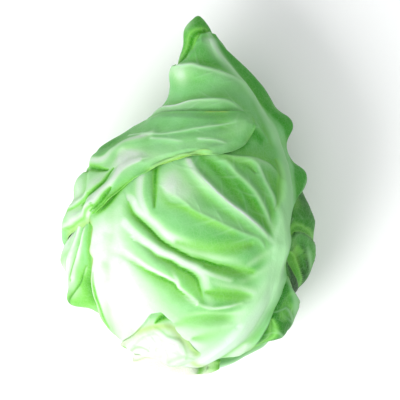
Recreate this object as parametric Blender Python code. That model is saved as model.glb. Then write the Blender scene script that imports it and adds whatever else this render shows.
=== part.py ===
"""A pointed cabbage as picked, lying on its side, with the cut stem towards -Y and the point towards +Y.

The dense heart is a lofted body. Every wrapper leaf is a thin blade laid over it, from the
inside out: a leaf's place is given by how far it lies along the head (y, in millimetres) and
by its angle round the head (degrees, 0 on top, 90 on the +X side, 180 underneath). Its inner
face follows whatever lies below it, so the leaves never cut through each other.

Lengths are millimetres in the functions, and metres in the finished meshes.
"""

import math

import bmesh
import bpy
import numpy as np

MM = 0.001

# The heart, from the cut end to the point: y, middle in x, half width, middle in z, half height
HEART_STATIONS = (
    (-104.0, -7.5, 0.0, 52.0, 0.0),
    (-102.5, -7.0, 19.0, 52.0, 18.0),
    (-97.0, -3.5, 34.0, 52.3, 31.0),
    (-84.0, 2.5, 47.5, 53.0, 42.0),
    (-60.0, 3.0, 62.0, 53.8, 52.5),
    (-30.0, 2.5, 69.5, 54.4, 57.5),
    (0.0, 3.5, 65.5, 54.9, 56.0),
    (25.0, 7.5, 51.5, 55.4, 48.0),
    (45.0, 15.5, 37.5, 56.0, 38.5),
    (61.0, 18.5, 27.0, 56.4, 28.5),
    (82.0, 11.4, 17.0, 57.0, 17.3),
    (96.0, 9.2, 10.8, 57.4, 10.8),
    (103.0, 8.2, 8.0, 57.4, 8.0),
    (108.0, 7.6, 5.8, 57.4, 5.8),
    (112.6, 7.6, 3.0, 57.4, 3.0),
    (115.0, 7.7, 0.0, 57.4, 0.0),
)
HEART_REST_Z = 2.4  # the heart's weight presses its lowest part flat at this height
REST_BLEND = 3.0  # over this height the round side turns into the flat
BASE_Y = -102.4  # the heart is flat here, where it meets the stem

STEM_X, STEM_Z = -7.5, 52.0
STEM_GAP = 0.4
STEM_PROFILE = ((22.4, 0.0), (22.2, 6.0), (21.8, 11.4), (20.8, 12.8))  # radius, and how far out
STEM_SIDES = 28

BLADE = 1.3  # thickness of a leaf between its veins
PRESSED = 0.9  # and where the head's weight presses it on the ground, at z = 0
CLEARANCE = 1.1  # free space that each leaf keeps from what it lies on

# Steps of the height map that the leaves are laid on, and how far a step in it is rounded
MAP_ROWS, MAP_COLUMNS = 132, 240
MAP_REACH = 4.0


def smooth_curve(points, steps, ghosts=None):
    """A Catmull-Rom curve through the points, with this many steps in each span."""
    p = np.asarray(points, float)
    first, last = ghosts or (2 * p[0] - p[1], 2 * p[-1] - p[-2])
    p = np.vstack([first, p, last])
    t = np.linspace(0, 1, steps, endpoint=False)[:, None]
    spans = [
        0.5 * (2 * b + (c - a) * t + (2 * a - 5 * b + 4 * c - d) * t**2 + (3 * b - a - 3 * c + d) * t**3)
        for a, b, c, d in zip(p, p[1:], p[2:], p[3:])
    ]
    return np.vstack([*spans, p[-2:-1]])


def soft_floor(value, lowest, blend):
    """value, but never under lowest, with a rounded change of the given height."""
    above = value - lowest
    bend = (above + blend) ** 2 / (4 * blend)
    return lowest + np.where(above <= -blend, 0.0, np.where(above < blend, bend, above))


class HeadForm:
    """The smooth form of the heart. s runs from 0 at the cut end to 1 at the point, phi is radians."""

    def __init__(self, stations):
        rows = np.asarray(stations, float)
        mirror = np.array([1, 1, -1, 1, -1])
        samples = smooth_curve(rows, 24, (rows[1] * mirror, rows[-2] * mirror))
        steps = np.hypot(np.diff(samples[:, 0]), np.diff(samples[:, 2]))
        self.s = np.concatenate([[0.0], np.cumsum(steps)])
        self.length = self.s[-1]
        self.s = self.s / self.length
        self.columns = samples.T

    def at(self, s, column):
        return np.interp(s, self.s, self.columns[column])

    def s_of(self, y):
        return np.interp(y, self.columns[0], self.s)

    def radius(self, s):
        return np.maximum((self.at(s, 2) + self.at(s, 4)) / 2, 1.0)

    def point(self, s, phi):
        x = self.at(s, 1) + self.at(s, 2) * np.sin(phi)
        y = np.maximum(self.at(s, 0), BASE_Y)
        z = self.at(s, 3) + self.at(s, 4) * np.cos(phi)
        return np.stack([x, y, soft_floor(z, HEART_REST_Z, REST_BLEND)], axis=-1)

    def normal(self, s, phi):
        step = 2e-3
        s = np.clip(s, 3 * step, 1 - 3 * step)
        along = self.point(s + step, phi) - self.point(s - step, phi)
        around = self.point(s, phi + step) - self.point(s, phi - step)
        out = np.cross(around, along)
        return out / np.linalg.norm(out, axis=-1, keepdims=True)


HEAD = HeadForm(HEART_STATIONS)


class HeightMap:
    """How high the leaves laid so far reach above the heart, over the whole of it."""

    def __init__(self):
        self.height = np.zeros((MAP_ROWS, MAP_COLUMNS))

    def lay(self, s, phi, height):
        row = np.clip(np.rint(s * (MAP_ROWS - 1)).astype(int), 0, MAP_ROWS - 1)
        column = np.rint(phi / (2 * math.pi) * MAP_COLUMNS).astype(int) % MAP_COLUMNS
        np.maximum.at(self.height, (row, column), height)

    def spread(self, rows, combine):
        """Each cell combined with its neighbours within MAP_REACH, first round the head and then along it."""
        out = np.empty_like(rows)
        for i, row in enumerate(rows):
            cell = 2 * math.pi * HEAD.radius(i / (MAP_ROWS - 1)) / MAP_COLUMNS
            reach = min(int(math.ceil(MAP_REACH / cell)), MAP_COLUMNS // 6)
            out[i] = combine([np.roll(row, k) for k in range(-reach, reach + 1)])
        reach = int(math.ceil(MAP_REACH / (HEAD.length / MAP_ROWS)))
        padded = np.pad(out, ((reach, reach), (0, 0)), mode="edge")
        return combine([padded[k : k + MAP_ROWS] for k in range(2 * reach + 1)])

    def support(self, s, phi):
        """The height on which a new leaf lies: nowhere lower than what is below it."""
        grown = self.spread(self.height, lambda layers: np.max(layers, axis=0))
        smooth = self.spread(grown, lambda layers: np.mean(layers, axis=0))
        r = np.clip(s, 0, 1) * (MAP_ROWS - 1)
        c = phi / (2 * math.pi) * MAP_COLUMNS
        r0 = np.clip(np.floor(r).astype(int), 0, MAP_ROWS - 2)
        c0 = np.floor(c).astype(int)
        fr, fc = r - r0, c - c0
        c0, c1 = c0 % MAP_COLUMNS, (c0 + 1) % MAP_COLUMNS
        near = smooth[r0, c0] * (1 - fc) + smooth[r0, c1] * fc
        far = smooth[r0 + 1, c0] * (1 - fc) + smooth[r0 + 1, c1] * fc
        return near * (1 - fr) + far * fr


def from_line(line, points, normals):
    """Distance of the points from a line on the head, minus on its left, and the share of the line passed."""
    nearest = np.full(points.shape[:-1], 1e9)
    signed = np.zeros(points.shape[:-1])
    passed = np.zeros(points.shape[:-1])
    lengths = np.linalg.norm(np.diff(line, axis=0), axis=1)
    walked = np.concatenate([[0.0], np.cumsum(lengths)])
    for start, end, length, before in zip(line, line[1:], lengths, walked):
        if length < 1e-9:
            continue
        along = (end - start) / length
        offset = points - start
        share = np.clip(offset @ along, 0, length)
        away = offset - share[..., None] * along
        distance = np.linalg.norm(away, axis=-1)
        side = np.sign(np.einsum("...k,...k->...", np.cross(along, away), normals))
        closer = distance < nearest
        nearest = np.where(closer, distance, nearest)
        signed = np.where(closer, -distance * np.where(side == 0, 1, side), signed)
        passed = np.where(closer, (before + share) / walked[-1], passed)
    return signed, passed


def on_head(points, steps=6):
    """A curve through (y, degrees) points, as (s, phi)."""
    curve = smooth_curve(points, steps)
    return np.stack([HEAD.s_of(curve[:, 0]), np.radians(curve[:, 1])], axis=-1)


def evenly(curve, t):
    """The (s, phi) curve read at shares t of its length."""
    metric = np.stack([curve[:, 0] * HEAD.length, curve[:, 1] * HEAD.radius(curve[:, 0])], axis=-1)
    steps = np.linalg.norm(np.diff(metric, axis=0), axis=1)
    walked = np.concatenate([[0.0], np.cumsum(steps)]) / steps.sum()
    return np.stack([np.interp(t, walked, curve[:, k]) for k in (0, 1)], axis=-1)


class Leaf:
    """One leaf: t runs from its base to its tip, w from -1 at its left edge over 0 at the rib to 1."""

    def __init__(self, rib, left, right, rib_size, fan=(1.0, 1.0), **relief):
        self.rib, self.left, self.right = on_head(rib), on_head(left), on_head(right)
        self.rib_size = rib_size
        self.fan = fan
        self.relief = relief

    def place(self, t, w):
        """(s, phi) of points of the leaf."""
        middle = evenly(self.rib, t)
        left, right = evenly(self.left, t ** self.fan[0]), evenly(self.right, t ** self.fan[1])
        w = w[..., None]
        return middle + (middle - left) * np.minimum(w, 0) + (right - middle) * np.maximum(w, 0)

    def vein_lines(self):
        """(line on the head, height, half width) of each side vein, by the leaf's rule and then its own list."""
        count, first, last, rise, height, width = self.relief.get("veins", (0, 0, 1, 0, 0, 1))
        for i in range(count):
            start = first + (last - first) * (i + 0.5) / count
            for side in (-1, 1):
                shift = (0.25 if side > 0 else -0.25) * (last - first) / count
                w = np.linspace(0, 0.94, 12)
                t = np.clip(start + shift + rise * (1 - start) * w**1.25, 0, 0.97)
                place = self.place(t, side * w)
                yield HEAD.point(place[:, 0], place[:, 1]), height * (1 - 0.5 * start), width, width
        for points, height, left_width, right_width in self.relief.get("folds", ()):
            place = on_head(points)
            yield HEAD.point(place[:, 0], place[:, 1]), height, left_width, right_width

    def waves(self, s, phi, t, w, points, normals):
        """How far the blade stands off what it lies on: slack, folds along the veins, lifted and frilled edges."""
        off = np.full(t.shape, float(self.relief.get("slack", 1.0)))
        for line, height, left_width, right_width in self.vein_lines():
            signed, passed = from_line(line, points, normals)
            width = np.where(signed < 0, left_width, right_width)
            fade = np.sin(np.pi * np.clip(0.12 + 0.88 * passed, 0, 1)) ** 0.5
            off = off + height * fade * np.exp(-((signed / width) ** 2))
        for y, degrees, reach_along, reach_round, height in self.relief.get("lifts", ()):
            along = (s - HEAD.s_of(y)) * HEAD.length / reach_along
            turn = (phi - math.radians(degrees)) * HEAD.radius(s) / reach_round
            off = off + height * np.exp(-(along**2) - turn**2)
        for side, height, count, phase in self.relief.get("frills", ()):
            edge = np.clip(w * side, 0, 1) ** 4
            swing = 0.5 + 0.5 * np.sin(2 * np.pi * (count * t + phase))
            off = off + height * edge * swing * np.clip(6 * t, 0, 1)
        return np.maximum(off, 0.0)

    def rib_height(self, t, distance):
        """The midrib stands out of the outer face, thick at the base and fading to the tip."""
        height, half_width, tip_width = self.rib_size
        half = half_width + (tip_width - half_width) * t**0.75
        rise = height * (1 - 0.85 * t**0.8)
        return rise * np.exp(-((np.abs(distance) / half) ** 2.6))

    def faces(self, t, w, below):
        """Inner and outer face, as heights above the heart, with the places they belong to."""
        place = self.place(t, w)
        s, phi = place[..., 0], place[..., 1]
        points, normals = HEAD.point(s, phi), HEAD.normal(s, phi)
        rib = HEAD.point(self.rib[:, 0], self.rib[:, 1])
        distance, _ = from_line(rib, points, normals)
        inner = below.support(s, phi) + CLEARANCE + self.waves(s, phi, t, w, points, normals)
        outer = inner + BLADE + self.rib_height(t, distance)
        return s, phi, points, normals, inner, outer


def steps_across(left, right, crowd=0.45):
    """Steps from -1 to 1, so many on each side of the rib and closer together near it."""
    even = np.concatenate([np.linspace(-1, 0, left, endpoint=False), np.linspace(0, 1, right + 1)])
    return even * (1 - crowd) + crowd * even**3


def closed_blade(name, inner, outer):
    """A closed mesh from two grids of points. Both faces are split into triangles alike."""
    rows, columns = inner.shape[:2]
    bm = bmesh.new()
    low = [[bm.verts.new(p * MM) for p in row] for row in inner]
    high = [[bm.verts.new(p * MM) for p in row] for row in outer]
    for i in range(rows - 1):
        for j in range(columns - 1):
            near, far = (i, j), (i + 1, j + 1)
            for middle, flip in (((i, j + 1), False), ((i + 1, j), True)):
                corners = [near, middle, far]
                for grid, turned in ((high, flip), (low, not flip)):
                    face = [grid[r][c] for r, c in corners]
                    bm.faces.new(face[::-1] if turned else face)
    rim = [(0, j) for j in range(columns)] + [(i, columns - 1) for i in range(1, rows)]
    rim += [(rows - 1, j) for j in range(columns - 2, -1, -1)] + [(i, 0) for i in range(rows - 2, 0, -1)]
    for (r0, c0), (r1, c1) in zip(rim, rim[1:] + rim[:1]):
        bm.faces.new((low[r0][c0], low[r1][c1], high[r1][c1]))
        bm.faces.new((low[r0][c0], high[r1][c1], high[r0][c0]))
    return mesh_object(name, bm)


def mesh_object(name, bm):
    bmesh.ops.recalc_face_normals(bm, faces=bm.faces)
    mesh = bpy.data.meshes.new(name)
    bm.to_mesh(mesh)
    bm.free()
    mesh.shade_smooth()
    mesh.set_sharp_from_angle(angle=math.radians(60))
    made = bpy.data.objects.new(name, mesh)
    bpy.context.scene.collection.objects.link(made)
    return made


# The leaves, from the inside out. Each outline is (y, degrees round the head), from base to tip.
# size is (steps along, crowding of them towards the base, steps left of the rib, steps right of it).
# fan says how the rows of the blade rise from the rib to the edges: 1 is level, less is steeper.
# lifts are (y, degrees, reach along, reach round, height); folds are (points, height, half widths
# left and right of the line); veins are (count a side, first, last, rise, height, half width);
# frills are (side, height, waves along the edge, phase).
LEAVES = {
    "right_leaf": dict(
        size=(24, 1.2, 11, 7),
        rib=((-100.5, 122), (-80, 116), (-40, 112), (0, 110), (40, 113), (75, 120), (97, 126)),
        left=(
            (-100.5, 96), (-90, 68), (-60, 52), (-20, 50), (15, 56), (50, 66), (80, 80), (97, 100),
        ),
        right=(
            (-100.5, 142), (-88, 144), (-50, 143), (0, 142), (40, 142), (75, 146), (97, 148),
        ),
        rib_size=(4.0, 8.0, 2.0),
        veins=(5, 0.12, 0.8, 0.22, 1.6, 4.0),
        lifts=((-20, 84, 24, 20, 7.0), (-46, 86, 14, 14, 5.0)),
        slack=0.5,
        tint="outer_green",
    ),
    "lower_right_leaf": dict(
        size=(16, 1.0, 9, 7),
        rib=((-100.5, 122), (-90, 114), (-78, 104), (-66, 96), (-55, 88)),
        left=((-100.5, 88), (-93, 68), (-85, 60), (-75, 58), (-65, 62), (-57, 72)),
        right=((-100.5, 142), (-90, 144), (-76, 140), (-63, 128), (-53, 106)),
        rib_size=(3.6, 7.0, 2.5),
        veins=(4, 0.1, 0.85, 0.2, 1.4, 4.0),
        lifts=((-66, 86, 9, 14, 3.0), (-80, 86, 10, 14, 8.0)),
        frills=((-1, 2.5, 3.2, 0.3), (1, 2.0, 3.0, 0.0)),
        slack=0.5,
        tint="outer_green",
    ),
    "front_leaf": dict(
        size=(44, 1.5, 23, 9),
        rib=(
            (-100.5, 24), (-90, 28), (-84, 34), (-76, 40), (-65, 43), (-51, 44), (-37, 45), (-20, 47),
            (-2, 50), (14, 53), (35, 51), (48, 43), (59, 35), (70, 28), (83, 19), (93, 8), (103.5, 2),
        ),
        left=(
            (-100.5, -12), (-97, -36), (-92, -56), (-84, -72), (-71, -65), (-59, -61), (-42, -60),
            (-29, -57), (-14, -55), (5, -64), (35, -92), (60, -114), (76, -112), (83, -86), (83, -60),
            (85, -42), (89, -31), (95, -20), (101, -8), (103, 0),
        ),
        right=(
            (-100.5, 46), (-96, 62), (-89, 63), (-79, 60), (-64, 57), (-50, 56), (-33, 56), (-17, 58),
            (-6, 64), (4, 84), (12, 92), (28, 92), (42, 97), (60, 101), (82, 108), (94, 98), (101, 62),
            (103.5, 20),
        ),
        rib_size=(6.5, 12.5, 1.6),
        fan=(0.55, 1.0),
        slack=1.3,
        folds=(
            (((63, 51), (69, 46), (72, 36), (75, 16), (79, -3), (81, -22), (81, -52), (78, -80)), 2.0, 3.5, 5.0),
            (((45, 40), (49, 33), (54, 23), (58, 13), (58, 0), (57, -16), (55, -33), (52, -62), (48, -86)),
             2.6, 3.5, 5.5),
            (((-25, 42), (-16, 30), (-5, 17), (4, 10), (15, 2)), 4.0, 6.0, 5.0),
            (((-21, 41), (-8, 31), (6, 23), (20, 16)), 2.0, 4.5, 4.5),
            (((-19, 49), (-4, 49), (7, 44), (13, 41), (17, 33)), 2.8, 4.0, 4.5),
            (((14, 52), (19, 49), (20, 41), (20, 33), (22, 23), (22, 12)), 3.0, 5.5, 3.6),
            (((-36, 42), (-30, 24), (-22, 8), (-12, -2), (-7, -14)), 3.0, 6.0, 6.0),
            (((-53, 38), (-45, 29), (-41, 17), (-36, 5), (-29, -9), (-20, -19), (-8, -29), (1, -36)),
             6.4, 5.2, 10.0),
            (((-60, 35), (-57, 18), (-53, 3), (-47, -3), (-42, -10), (-37, -17), (-29, -25), (-22, -34)),
             5.2, 3.8, 7.0),
            (((-68, 24), (-69, 10), (-64, -2), (-56, -8), (-48, -14), (-45, -20), (-39, -29), (-38, -40)),
             4.6, 3.8, 7.0),
            (((-84, 42), (-79, 38), (-73, 30), (-72, 20), (-72, 6)), 2.6, 4.5, 6.0),
            (((16, -30), (2, -29), (-10, -27)), 2.2, 4.5, 4.0),
            (((18, -23), (7, -20), (-6, -18)), -2.0, 3.5, 3.5),
            (((-4, -44), (-10, -37), (-15, -31), (-26, -21), (-35, -11), (-42, -3)), -1.6, 3.5, 3.0),
        ),
        lifts=((43, 92, 10, 14, 7.0), (8, 88, 8, 12, 4.0), (76, 95, 22, 16, 0.6), (-60, -20, 30, 45, 2.0),
               (-70, -14, 7, 13, 3.5)),
        frills=((-1, 2.4, 8, 0.1),),
        tint="leaf_green",
    ),
    "shoulder_leaf": dict(
        size=(32, 1.0, 8, 8),
        rib=(
            (-100.5, -132), (-80, -126), (-45, -114), (-12, -100), (12, -80), (26, -55),
            (31, -30), (33, -6), (35, 14), (39.5, 32),
        ),
        left=(
            (-100.5, -144), (-85, -143), (-50, -142), (-10, -140), (20, -128), (38, -104),
            (45, -74), (47, -44), (47, -16), (47.5, 6), (46.5, 22), (42, 33),
        ),
        right=(
            (-100.5, -120), (-85, -116), (-72, -104), (-60, -90), (-45, -81), (-28, -72),
            (-17, -58), (-9, -49), (3, -39), (9, -32), (14, -25), (19, -15), (21, -7), (23, 2),
            (23, 13), (28, 24), (33, 30), (37, 33),
        ),
        rib_size=(3.6, 8.0, 2.0),
        folds=(
            (((29, -51), (22, -55), (16, -60), (12, -70)), 2.6, 4.0, 4.5),
            (((14, -50), (5, -53), (-6, -62), (-16, -74)), -2.4, 3.5, 3.5),
            (((33, -45), (37, -14), (44, 20)), 1.2, 4.0, 4.0),
            (((6, -44), (-4, -52), (-16, -64), (-30, -76)), 2.4, 3.5, 3.5),
        ),
        lifts=((20, -80, 13, 14, 5.5), (-16, -88, 14, 14, 5.0)),
        frills=((1, 1.4, 9, 0.2),),
        slack=0.9,
        tint="leaf_green",
    ),
    "left_leaf": dict(
        size=(20, 1.0, 8, 9),
        rib=((-100.5, -140), (-85, -134), (-66, -120), (-45, -108), (-27, -99)),
        left=((-100.5, -158), (-85, -152), (-65, -142), (-45, -130), (-29, -110)),
        right=((-100.5, -124), (-88, -120), (-78, -109), (-74, -94), (-71, -83), (-60, -78), (-45, -77),
               (-33, -82), (-27, -91)),
        rib_size=(3.6, 7.0, 2.5),
        veins=(3, 0.2, 0.85, 0.2, 1.6, 4.0),
        lifts=((-53, -88, 22, 18, 9.0), (-68, -90, 8, 12, 5.0)),
        frills=((1, 3.5, 4.5, 0.2),),
        slack=0.8,
        tint="leaf_green",
    ),
    "under_leaf": dict(
        size=(24, 1.0, 10, 10),
        rib=((-100.5, 182), (-80, 184), (-30, 182), (30, 178), (75, 172), (98, 166)),
        left=((-100.5, 156), (-90, 140), (-55, 130), (-10, 129), (35, 134), (70, 140), (97, 142)),
        right=((-100.5, 208), (-90, 222), (-55, 232), (-10, 234), (35, 230), (70, 220), (97, 196)),
        rib_size=(4.5, 8.0, 1.8),
        veins=(5, 0.2, 0.85, 0.2, 1.4, 4.0),
        slack=0.4,
        tint="outer_green",
    ),
    "stub_leaf": dict(
        size=(13, 1.0, 8, 8),
        rib=((-100.5, -14), (-94, -14), (-84, -14), (-73, -15)),
        left=((-100.5, -42), (-96, -56), (-91, -49), (-83, -33), (-77, -26), (-73, -20)),
        right=((-100.5, 18), (-95, 24), (-90, 8), (-84, -4), (-77, -8), (-73, -11)),
        rib_size=(2.6, 6.0, 2.5),
        folds=(
            (((-99, -40), (-92, -40), (-86, -32)), 2.4, 3.0, 3.0),
            (((-98, 12), (-92, 4), (-86, -2)), 2.0, 3.0, 3.0),
        ),
        frills=((-1, 2.6, 2.6, 0.1), (1, 2.6, 2.2, 0.4)),
        lifts=((-74, -14, 8, 16, 3.0),),
        slack=0.6,
        tint="leaf_green",
    ),
}
SPLAT = 170  # samples each way when a leaf is added to the height map


def lay_leaf(name, spec, below):
    """The leaf's mesh, and its own height added to the map for the leaves outside it."""
    spec = dict(spec)
    along, crowd, left, right = spec.pop("size")
    tint = spec.pop("tint")
    leaf = Leaf(**spec)
    rows = np.linspace(0, 1, along) ** crowd
    t, w = np.meshgrid(rows, steps_across(left, right), indexing="ij")
    _, _, points, normals, inner, outer = leaf.faces(t, w, below)
    low, high = points + normals * inner[..., None], points + normals * outer[..., None]
    low[..., 2] = np.maximum(low[..., 2], PRESSED)
    high[..., 2] = np.maximum(high[..., 2], 0.0)
    made = closed_blade(name, low, high)
    made.data.materials.append(finish(tint))
    t, w = np.meshgrid(np.linspace(0, 1, SPLAT), np.linspace(-1, 1, SPLAT), indexing="ij")
    s, phi, _, _, _, outer = leaf.faces(t, w, below)
    below.lay(s, phi, outer)


def finish(name):
    """One material for each kind of surface."""
    colours = {
        "leaf_green": ((0.36, 0.60, 0.30, 1.0), 0.42),
        "outer_green": ((0.16, 0.38, 0.12, 1.0), 0.45),
        "heart_green": ((0.55, 0.72, 0.42, 1.0), 0.45),
        "cut_stem": ((0.80, 0.84, 0.62, 1.0), 0.60),
    }
    colour, roughness = colours[name]
    material = bpy.data.materials.get(name) or bpy.data.materials.new(name)
    material.use_nodes = True
    shader = material.node_tree.nodes["Principled BSDF"]
    shader.inputs["Base Color"].default_value = colour
    shader.inputs["Roughness"].default_value = roughness
    return material


HEART_ROWS, HEART_COLUMNS = 25, 36
WRAPS = 3  # leaves whose edges run up the outside of the heart
WRAP_STEP = 1.6
WRAP_TWIST = 0.9


def heart():
    """The dense heart, with the edges of its outermost leaves as low steps that wind up it."""
    s = np.linspace(0, 1, HEART_ROWS)[1:-1]
    phi = np.linspace(0, 2 * math.pi, HEART_COLUMNS, endpoint=False)
    s, phi = np.meshgrid(s, phi, indexing="ij")
    turn = (phi * WRAPS / (2 * math.pi) + WRAP_TWIST * s) % 1.0
    step = -WRAP_STEP * turn**3 * np.sin(math.pi * s)
    points = HEAD.point(s, phi) + HEAD.normal(s, phi) * step[..., None]
    bm = bmesh.new()
    rings = [[bm.verts.new(p * MM) for p in ring] for ring in points]
    for lower, upper in zip(rings, rings[1:]):
        for j in range(HEART_COLUMNS):
            k = (j + 1) % HEART_COLUMNS
            bm.faces.new((lower[j], lower[k], upper[k], upper[j]))
    for ring, s_end in ((rings[0], 0.0), (rings[-1], 1.0)):
        pole = bm.verts.new(HEAD.point(np.float64(s_end), np.float64(0)) * MM)
        for j in range(HEART_COLUMNS):
            bm.faces.new((ring[j], ring[(j + 1) % HEART_COLUMNS], pole))
    bmesh.ops.triangulate(bm, faces=bm.faces)
    mesh_object("heart", bm).data.materials.append(finish("heart_green"))


def stem():
    """The cut stem: a short turned stump that the leaves grow from."""
    bm = bmesh.new()
    rings = []
    for radius, out in STEM_PROFILE:
        turn = np.linspace(0, 2 * math.pi, STEM_SIDES, endpoint=False)
        x, z = STEM_X + radius * np.sin(turn), STEM_Z + radius * np.cos(turn)
        ring = np.stack([x, np.full_like(x, BASE_Y - STEM_GAP - out), z], axis=-1) * MM
        rings.append([bm.verts.new(p) for p in ring])
    for one, other in zip(rings, rings[1:]):
        bmesh.ops.bridge_loops(bm, edges=ring_edges(bm, one) + ring_edges(bm, other))
    bm.faces.new(rings[0])
    bm.faces.new(rings[-1])
    mesh_object("stem", bm).data.materials.append(finish("cut_stem"))


def ring_edges(bm, ring):
    pairs = zip(ring, ring[1:] + ring[:1])
    return [bm.edges.get(pair) or bm.edges.new(pair) for pair in pairs]


def main():
    for old in list(bpy.data.objects):
        bpy.data.objects.remove(old)
    heart()
    stem()
    below = HeightMap()
    for name, spec in LEAVES.items():
        lay_leaf(name, spec, below)


main()
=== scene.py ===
# %% [markdown]
# # A pointed cabbage, lying as it was picked
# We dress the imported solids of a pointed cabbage. The real thing is a dense heart with a few big
# wrapper leaves round it, so every leaf is a mesh of its own, laid over the ones below it. Lengths
# are millimetres until a mesh is made, because leaf sizes are easier to think about that way.

import math
import random

import bpy
import numpy as np
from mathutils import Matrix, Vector, noise


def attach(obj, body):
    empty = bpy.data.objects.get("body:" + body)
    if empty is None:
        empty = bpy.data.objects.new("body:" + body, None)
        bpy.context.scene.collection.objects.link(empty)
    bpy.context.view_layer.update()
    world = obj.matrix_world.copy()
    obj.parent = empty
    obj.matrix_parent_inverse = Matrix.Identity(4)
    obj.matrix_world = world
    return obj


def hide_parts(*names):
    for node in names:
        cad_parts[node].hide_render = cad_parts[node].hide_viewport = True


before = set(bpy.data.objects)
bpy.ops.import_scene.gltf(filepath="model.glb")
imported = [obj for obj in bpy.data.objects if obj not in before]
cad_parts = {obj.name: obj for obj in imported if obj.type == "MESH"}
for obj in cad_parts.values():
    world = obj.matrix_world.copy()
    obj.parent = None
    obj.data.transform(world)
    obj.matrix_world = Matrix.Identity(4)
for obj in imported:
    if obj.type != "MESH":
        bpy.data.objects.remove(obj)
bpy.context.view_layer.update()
MM = 0.001

# %% [markdown]
# ## Camera
# The photograph looks straight down on the head from far away, so a long lens high above the
# table is the honest choice: it keeps the outline from bulging. A new camera looks straight down
# already, so it only needs a place.

# %% Camera
CAMERA_AT = Vector((0.0090, -0.0035, 2.3914))
LENS_MM, SENSOR_MM = 326.6, 36.0
NEAREST, FARTHEST = 0.1, 20.0

scene = bpy.context.scene
lens = bpy.data.cameras.new("camera")
lens.lens, lens.sensor_width = LENS_MM, SENSOR_MM
lens.clip_start, lens.clip_end = NEAREST, FARTHEST
camera = bpy.data.objects.new("camera", lens)
camera.location = CAMERA_AT
scene.collection.objects.link(camera)
scene.camera = camera
print("the camera sees", round(SENSOR_MM / LENS_MM * CAMERA_AT.z * 1000), "mm of the table")

# %% [markdown]
# ## Light and table
# In the photograph the light comes from the lower left. It makes the left of the head almost
# white and leaves its right side deep green. One large soft lamp does that here. Three weaker
# ones and a pale sky open the shadows, and a plain white table is enough below.

# %% Sky and lamps
SKY_COLOUR, SKY_STRENGTH = (0.97, 0.99, 1.0, 1.0), 0.56
MIDDLE_OF_HEAD = Vector((0, 0, 0.05))
LAMPS = (  # name, place in metres, size, power
    ("window", (-1.0, -0.8, 1.1), 1.0, 20.0),
    ("low_card", (0.25, -1.1, 0.75), 0.8, 5.0),
    ("near_card", (-0.36, -0.46, 0.62), 0.4, 2.6),
    ("soft_top", (-0.2, 0.5, 1.7), 1.4, 4.0),
)

scene.view_settings.view_transform = "Standard"
scene.world = bpy.data.worlds.new("pale sky")
scene.world.use_nodes = True
sky = scene.world.node_tree.nodes["Background"]
sky.inputs["Color"].default_value = SKY_COLOUR
sky.inputs["Strength"].default_value = SKY_STRENGTH


def lamp(name, place, size, power):
    """A square area lamp that points at the middle of the head."""
    light = bpy.data.lights.new(name, "AREA")
    light.size, light.energy = size, power
    made = bpy.data.objects.new(name, light)
    made.location = place
    made.rotation_euler = (MIDDLE_OF_HEAD - Vector(place)).to_track_quat("-Z", "Y").to_euler()
    scene.collection.objects.link(made)


for row in LAMPS:
    lamp(*row)

# %% Table
TABLE_SIZE, TABLE_DROP = 6.0, 0.0002
WHITE, MATTE = (0.95, 0.95, 0.95, 1.0), 0.9

bpy.ops.mesh.primitive_grid_add(
    x_subdivisions=8, y_subdivisions=8, size=TABLE_SIZE, location=(0, 0, -TABLE_DROP)
)
table = bpy.context.object
table.name = "table"
card = bpy.data.materials.new("white card")
card.use_nodes = True
card.node_tree.nodes["Principled BSDF"].inputs["Base Color"].default_value = WHITE
card.node_tree.nodes["Principled BSDF"].inputs["Roughness"].default_value = MATTE
table.data.materials.append(card)
print("the table is", TABLE_SIZE, "m wide")

# %% [markdown]
# ## The form of the head
# Everything lies on one smooth form, the same as in the solids: a pear shape with its point bent
# to the right. Each station gives a place along the head and the width and height there, and a
# smooth curve through the stations gives the rest. A place on the form is then just two numbers:
# how far along (s) and how far round (phi, 0 on top).

# %% Stations and the smooth curve through them
HEART_STATIONS = (  # y, x of the middle, half width, z of the middle, half height
    (-104.0, -7.5, 0.0, 52.0, 0.0),
    (-102.5, -7.0, 19.0, 52.0, 18.0),
    (-97.0, -3.5, 34.0, 52.3, 31.0),
    (-84.0, 2.5, 47.5, 53.0, 42.0),
    (-60.0, 3.0, 62.0, 53.8, 52.5),
    (-30.0, 2.5, 69.5, 54.4, 57.5),
    (0.0, 3.5, 65.5, 54.9, 56.0),
    (25.0, 7.5, 51.5, 55.4, 48.0),
    (45.0, 15.5, 37.5, 56.0, 38.5),
    (61.0, 18.5, 27.0, 56.4, 28.5),
    (82.0, 11.4, 17.0, 57.0, 17.3),
    (96.0, 9.2, 10.8, 57.4, 10.8),
    (103.0, 8.2, 8.0, 57.4, 8.0),
    (108.0, 7.6, 5.8, 57.4, 5.8),
    (112.6, 7.6, 3.0, 57.4, 3.0),
    (115.0, 7.7, 0.0, 57.4, 0.0),
)
HEART_REST_Z = 2.4
REST_BLEND = 3.0
BASE_Y = -102.4


def smooth_curve(points, steps, ghosts=None):
    """A Catmull-Rom curve through the points, with this many steps in each span."""
    p = np.asarray(points, float)
    first, last = ghosts or (2 * p[0] - p[1], 2 * p[-1] - p[-2])
    p = np.vstack([first, p, last])
    t = np.linspace(0, 1, steps, endpoint=False)[:, None]
    spans = [
        0.5 * (2 * b + (c - a) * t + (2 * a - 5 * b + 4 * c - d) * t**2 + (3 * b - a - 3 * c + d) * t**3)
        for a, b, c, d in zip(p, p[1:], p[2:], p[3:])
    ]
    return np.vstack([*spans, p[-2:-1]])


def soft_floor(value, lowest, blend):
    """value, but never under lowest, with a rounded change of the given height."""
    above = value - lowest
    bend = (above + blend) ** 2 / (4 * blend)
    return lowest + np.where(above <= -blend, 0.0, np.where(above < blend, bend, above))


print("the head has", len(HEART_STATIONS), "stations from its cut end to its point")

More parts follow.
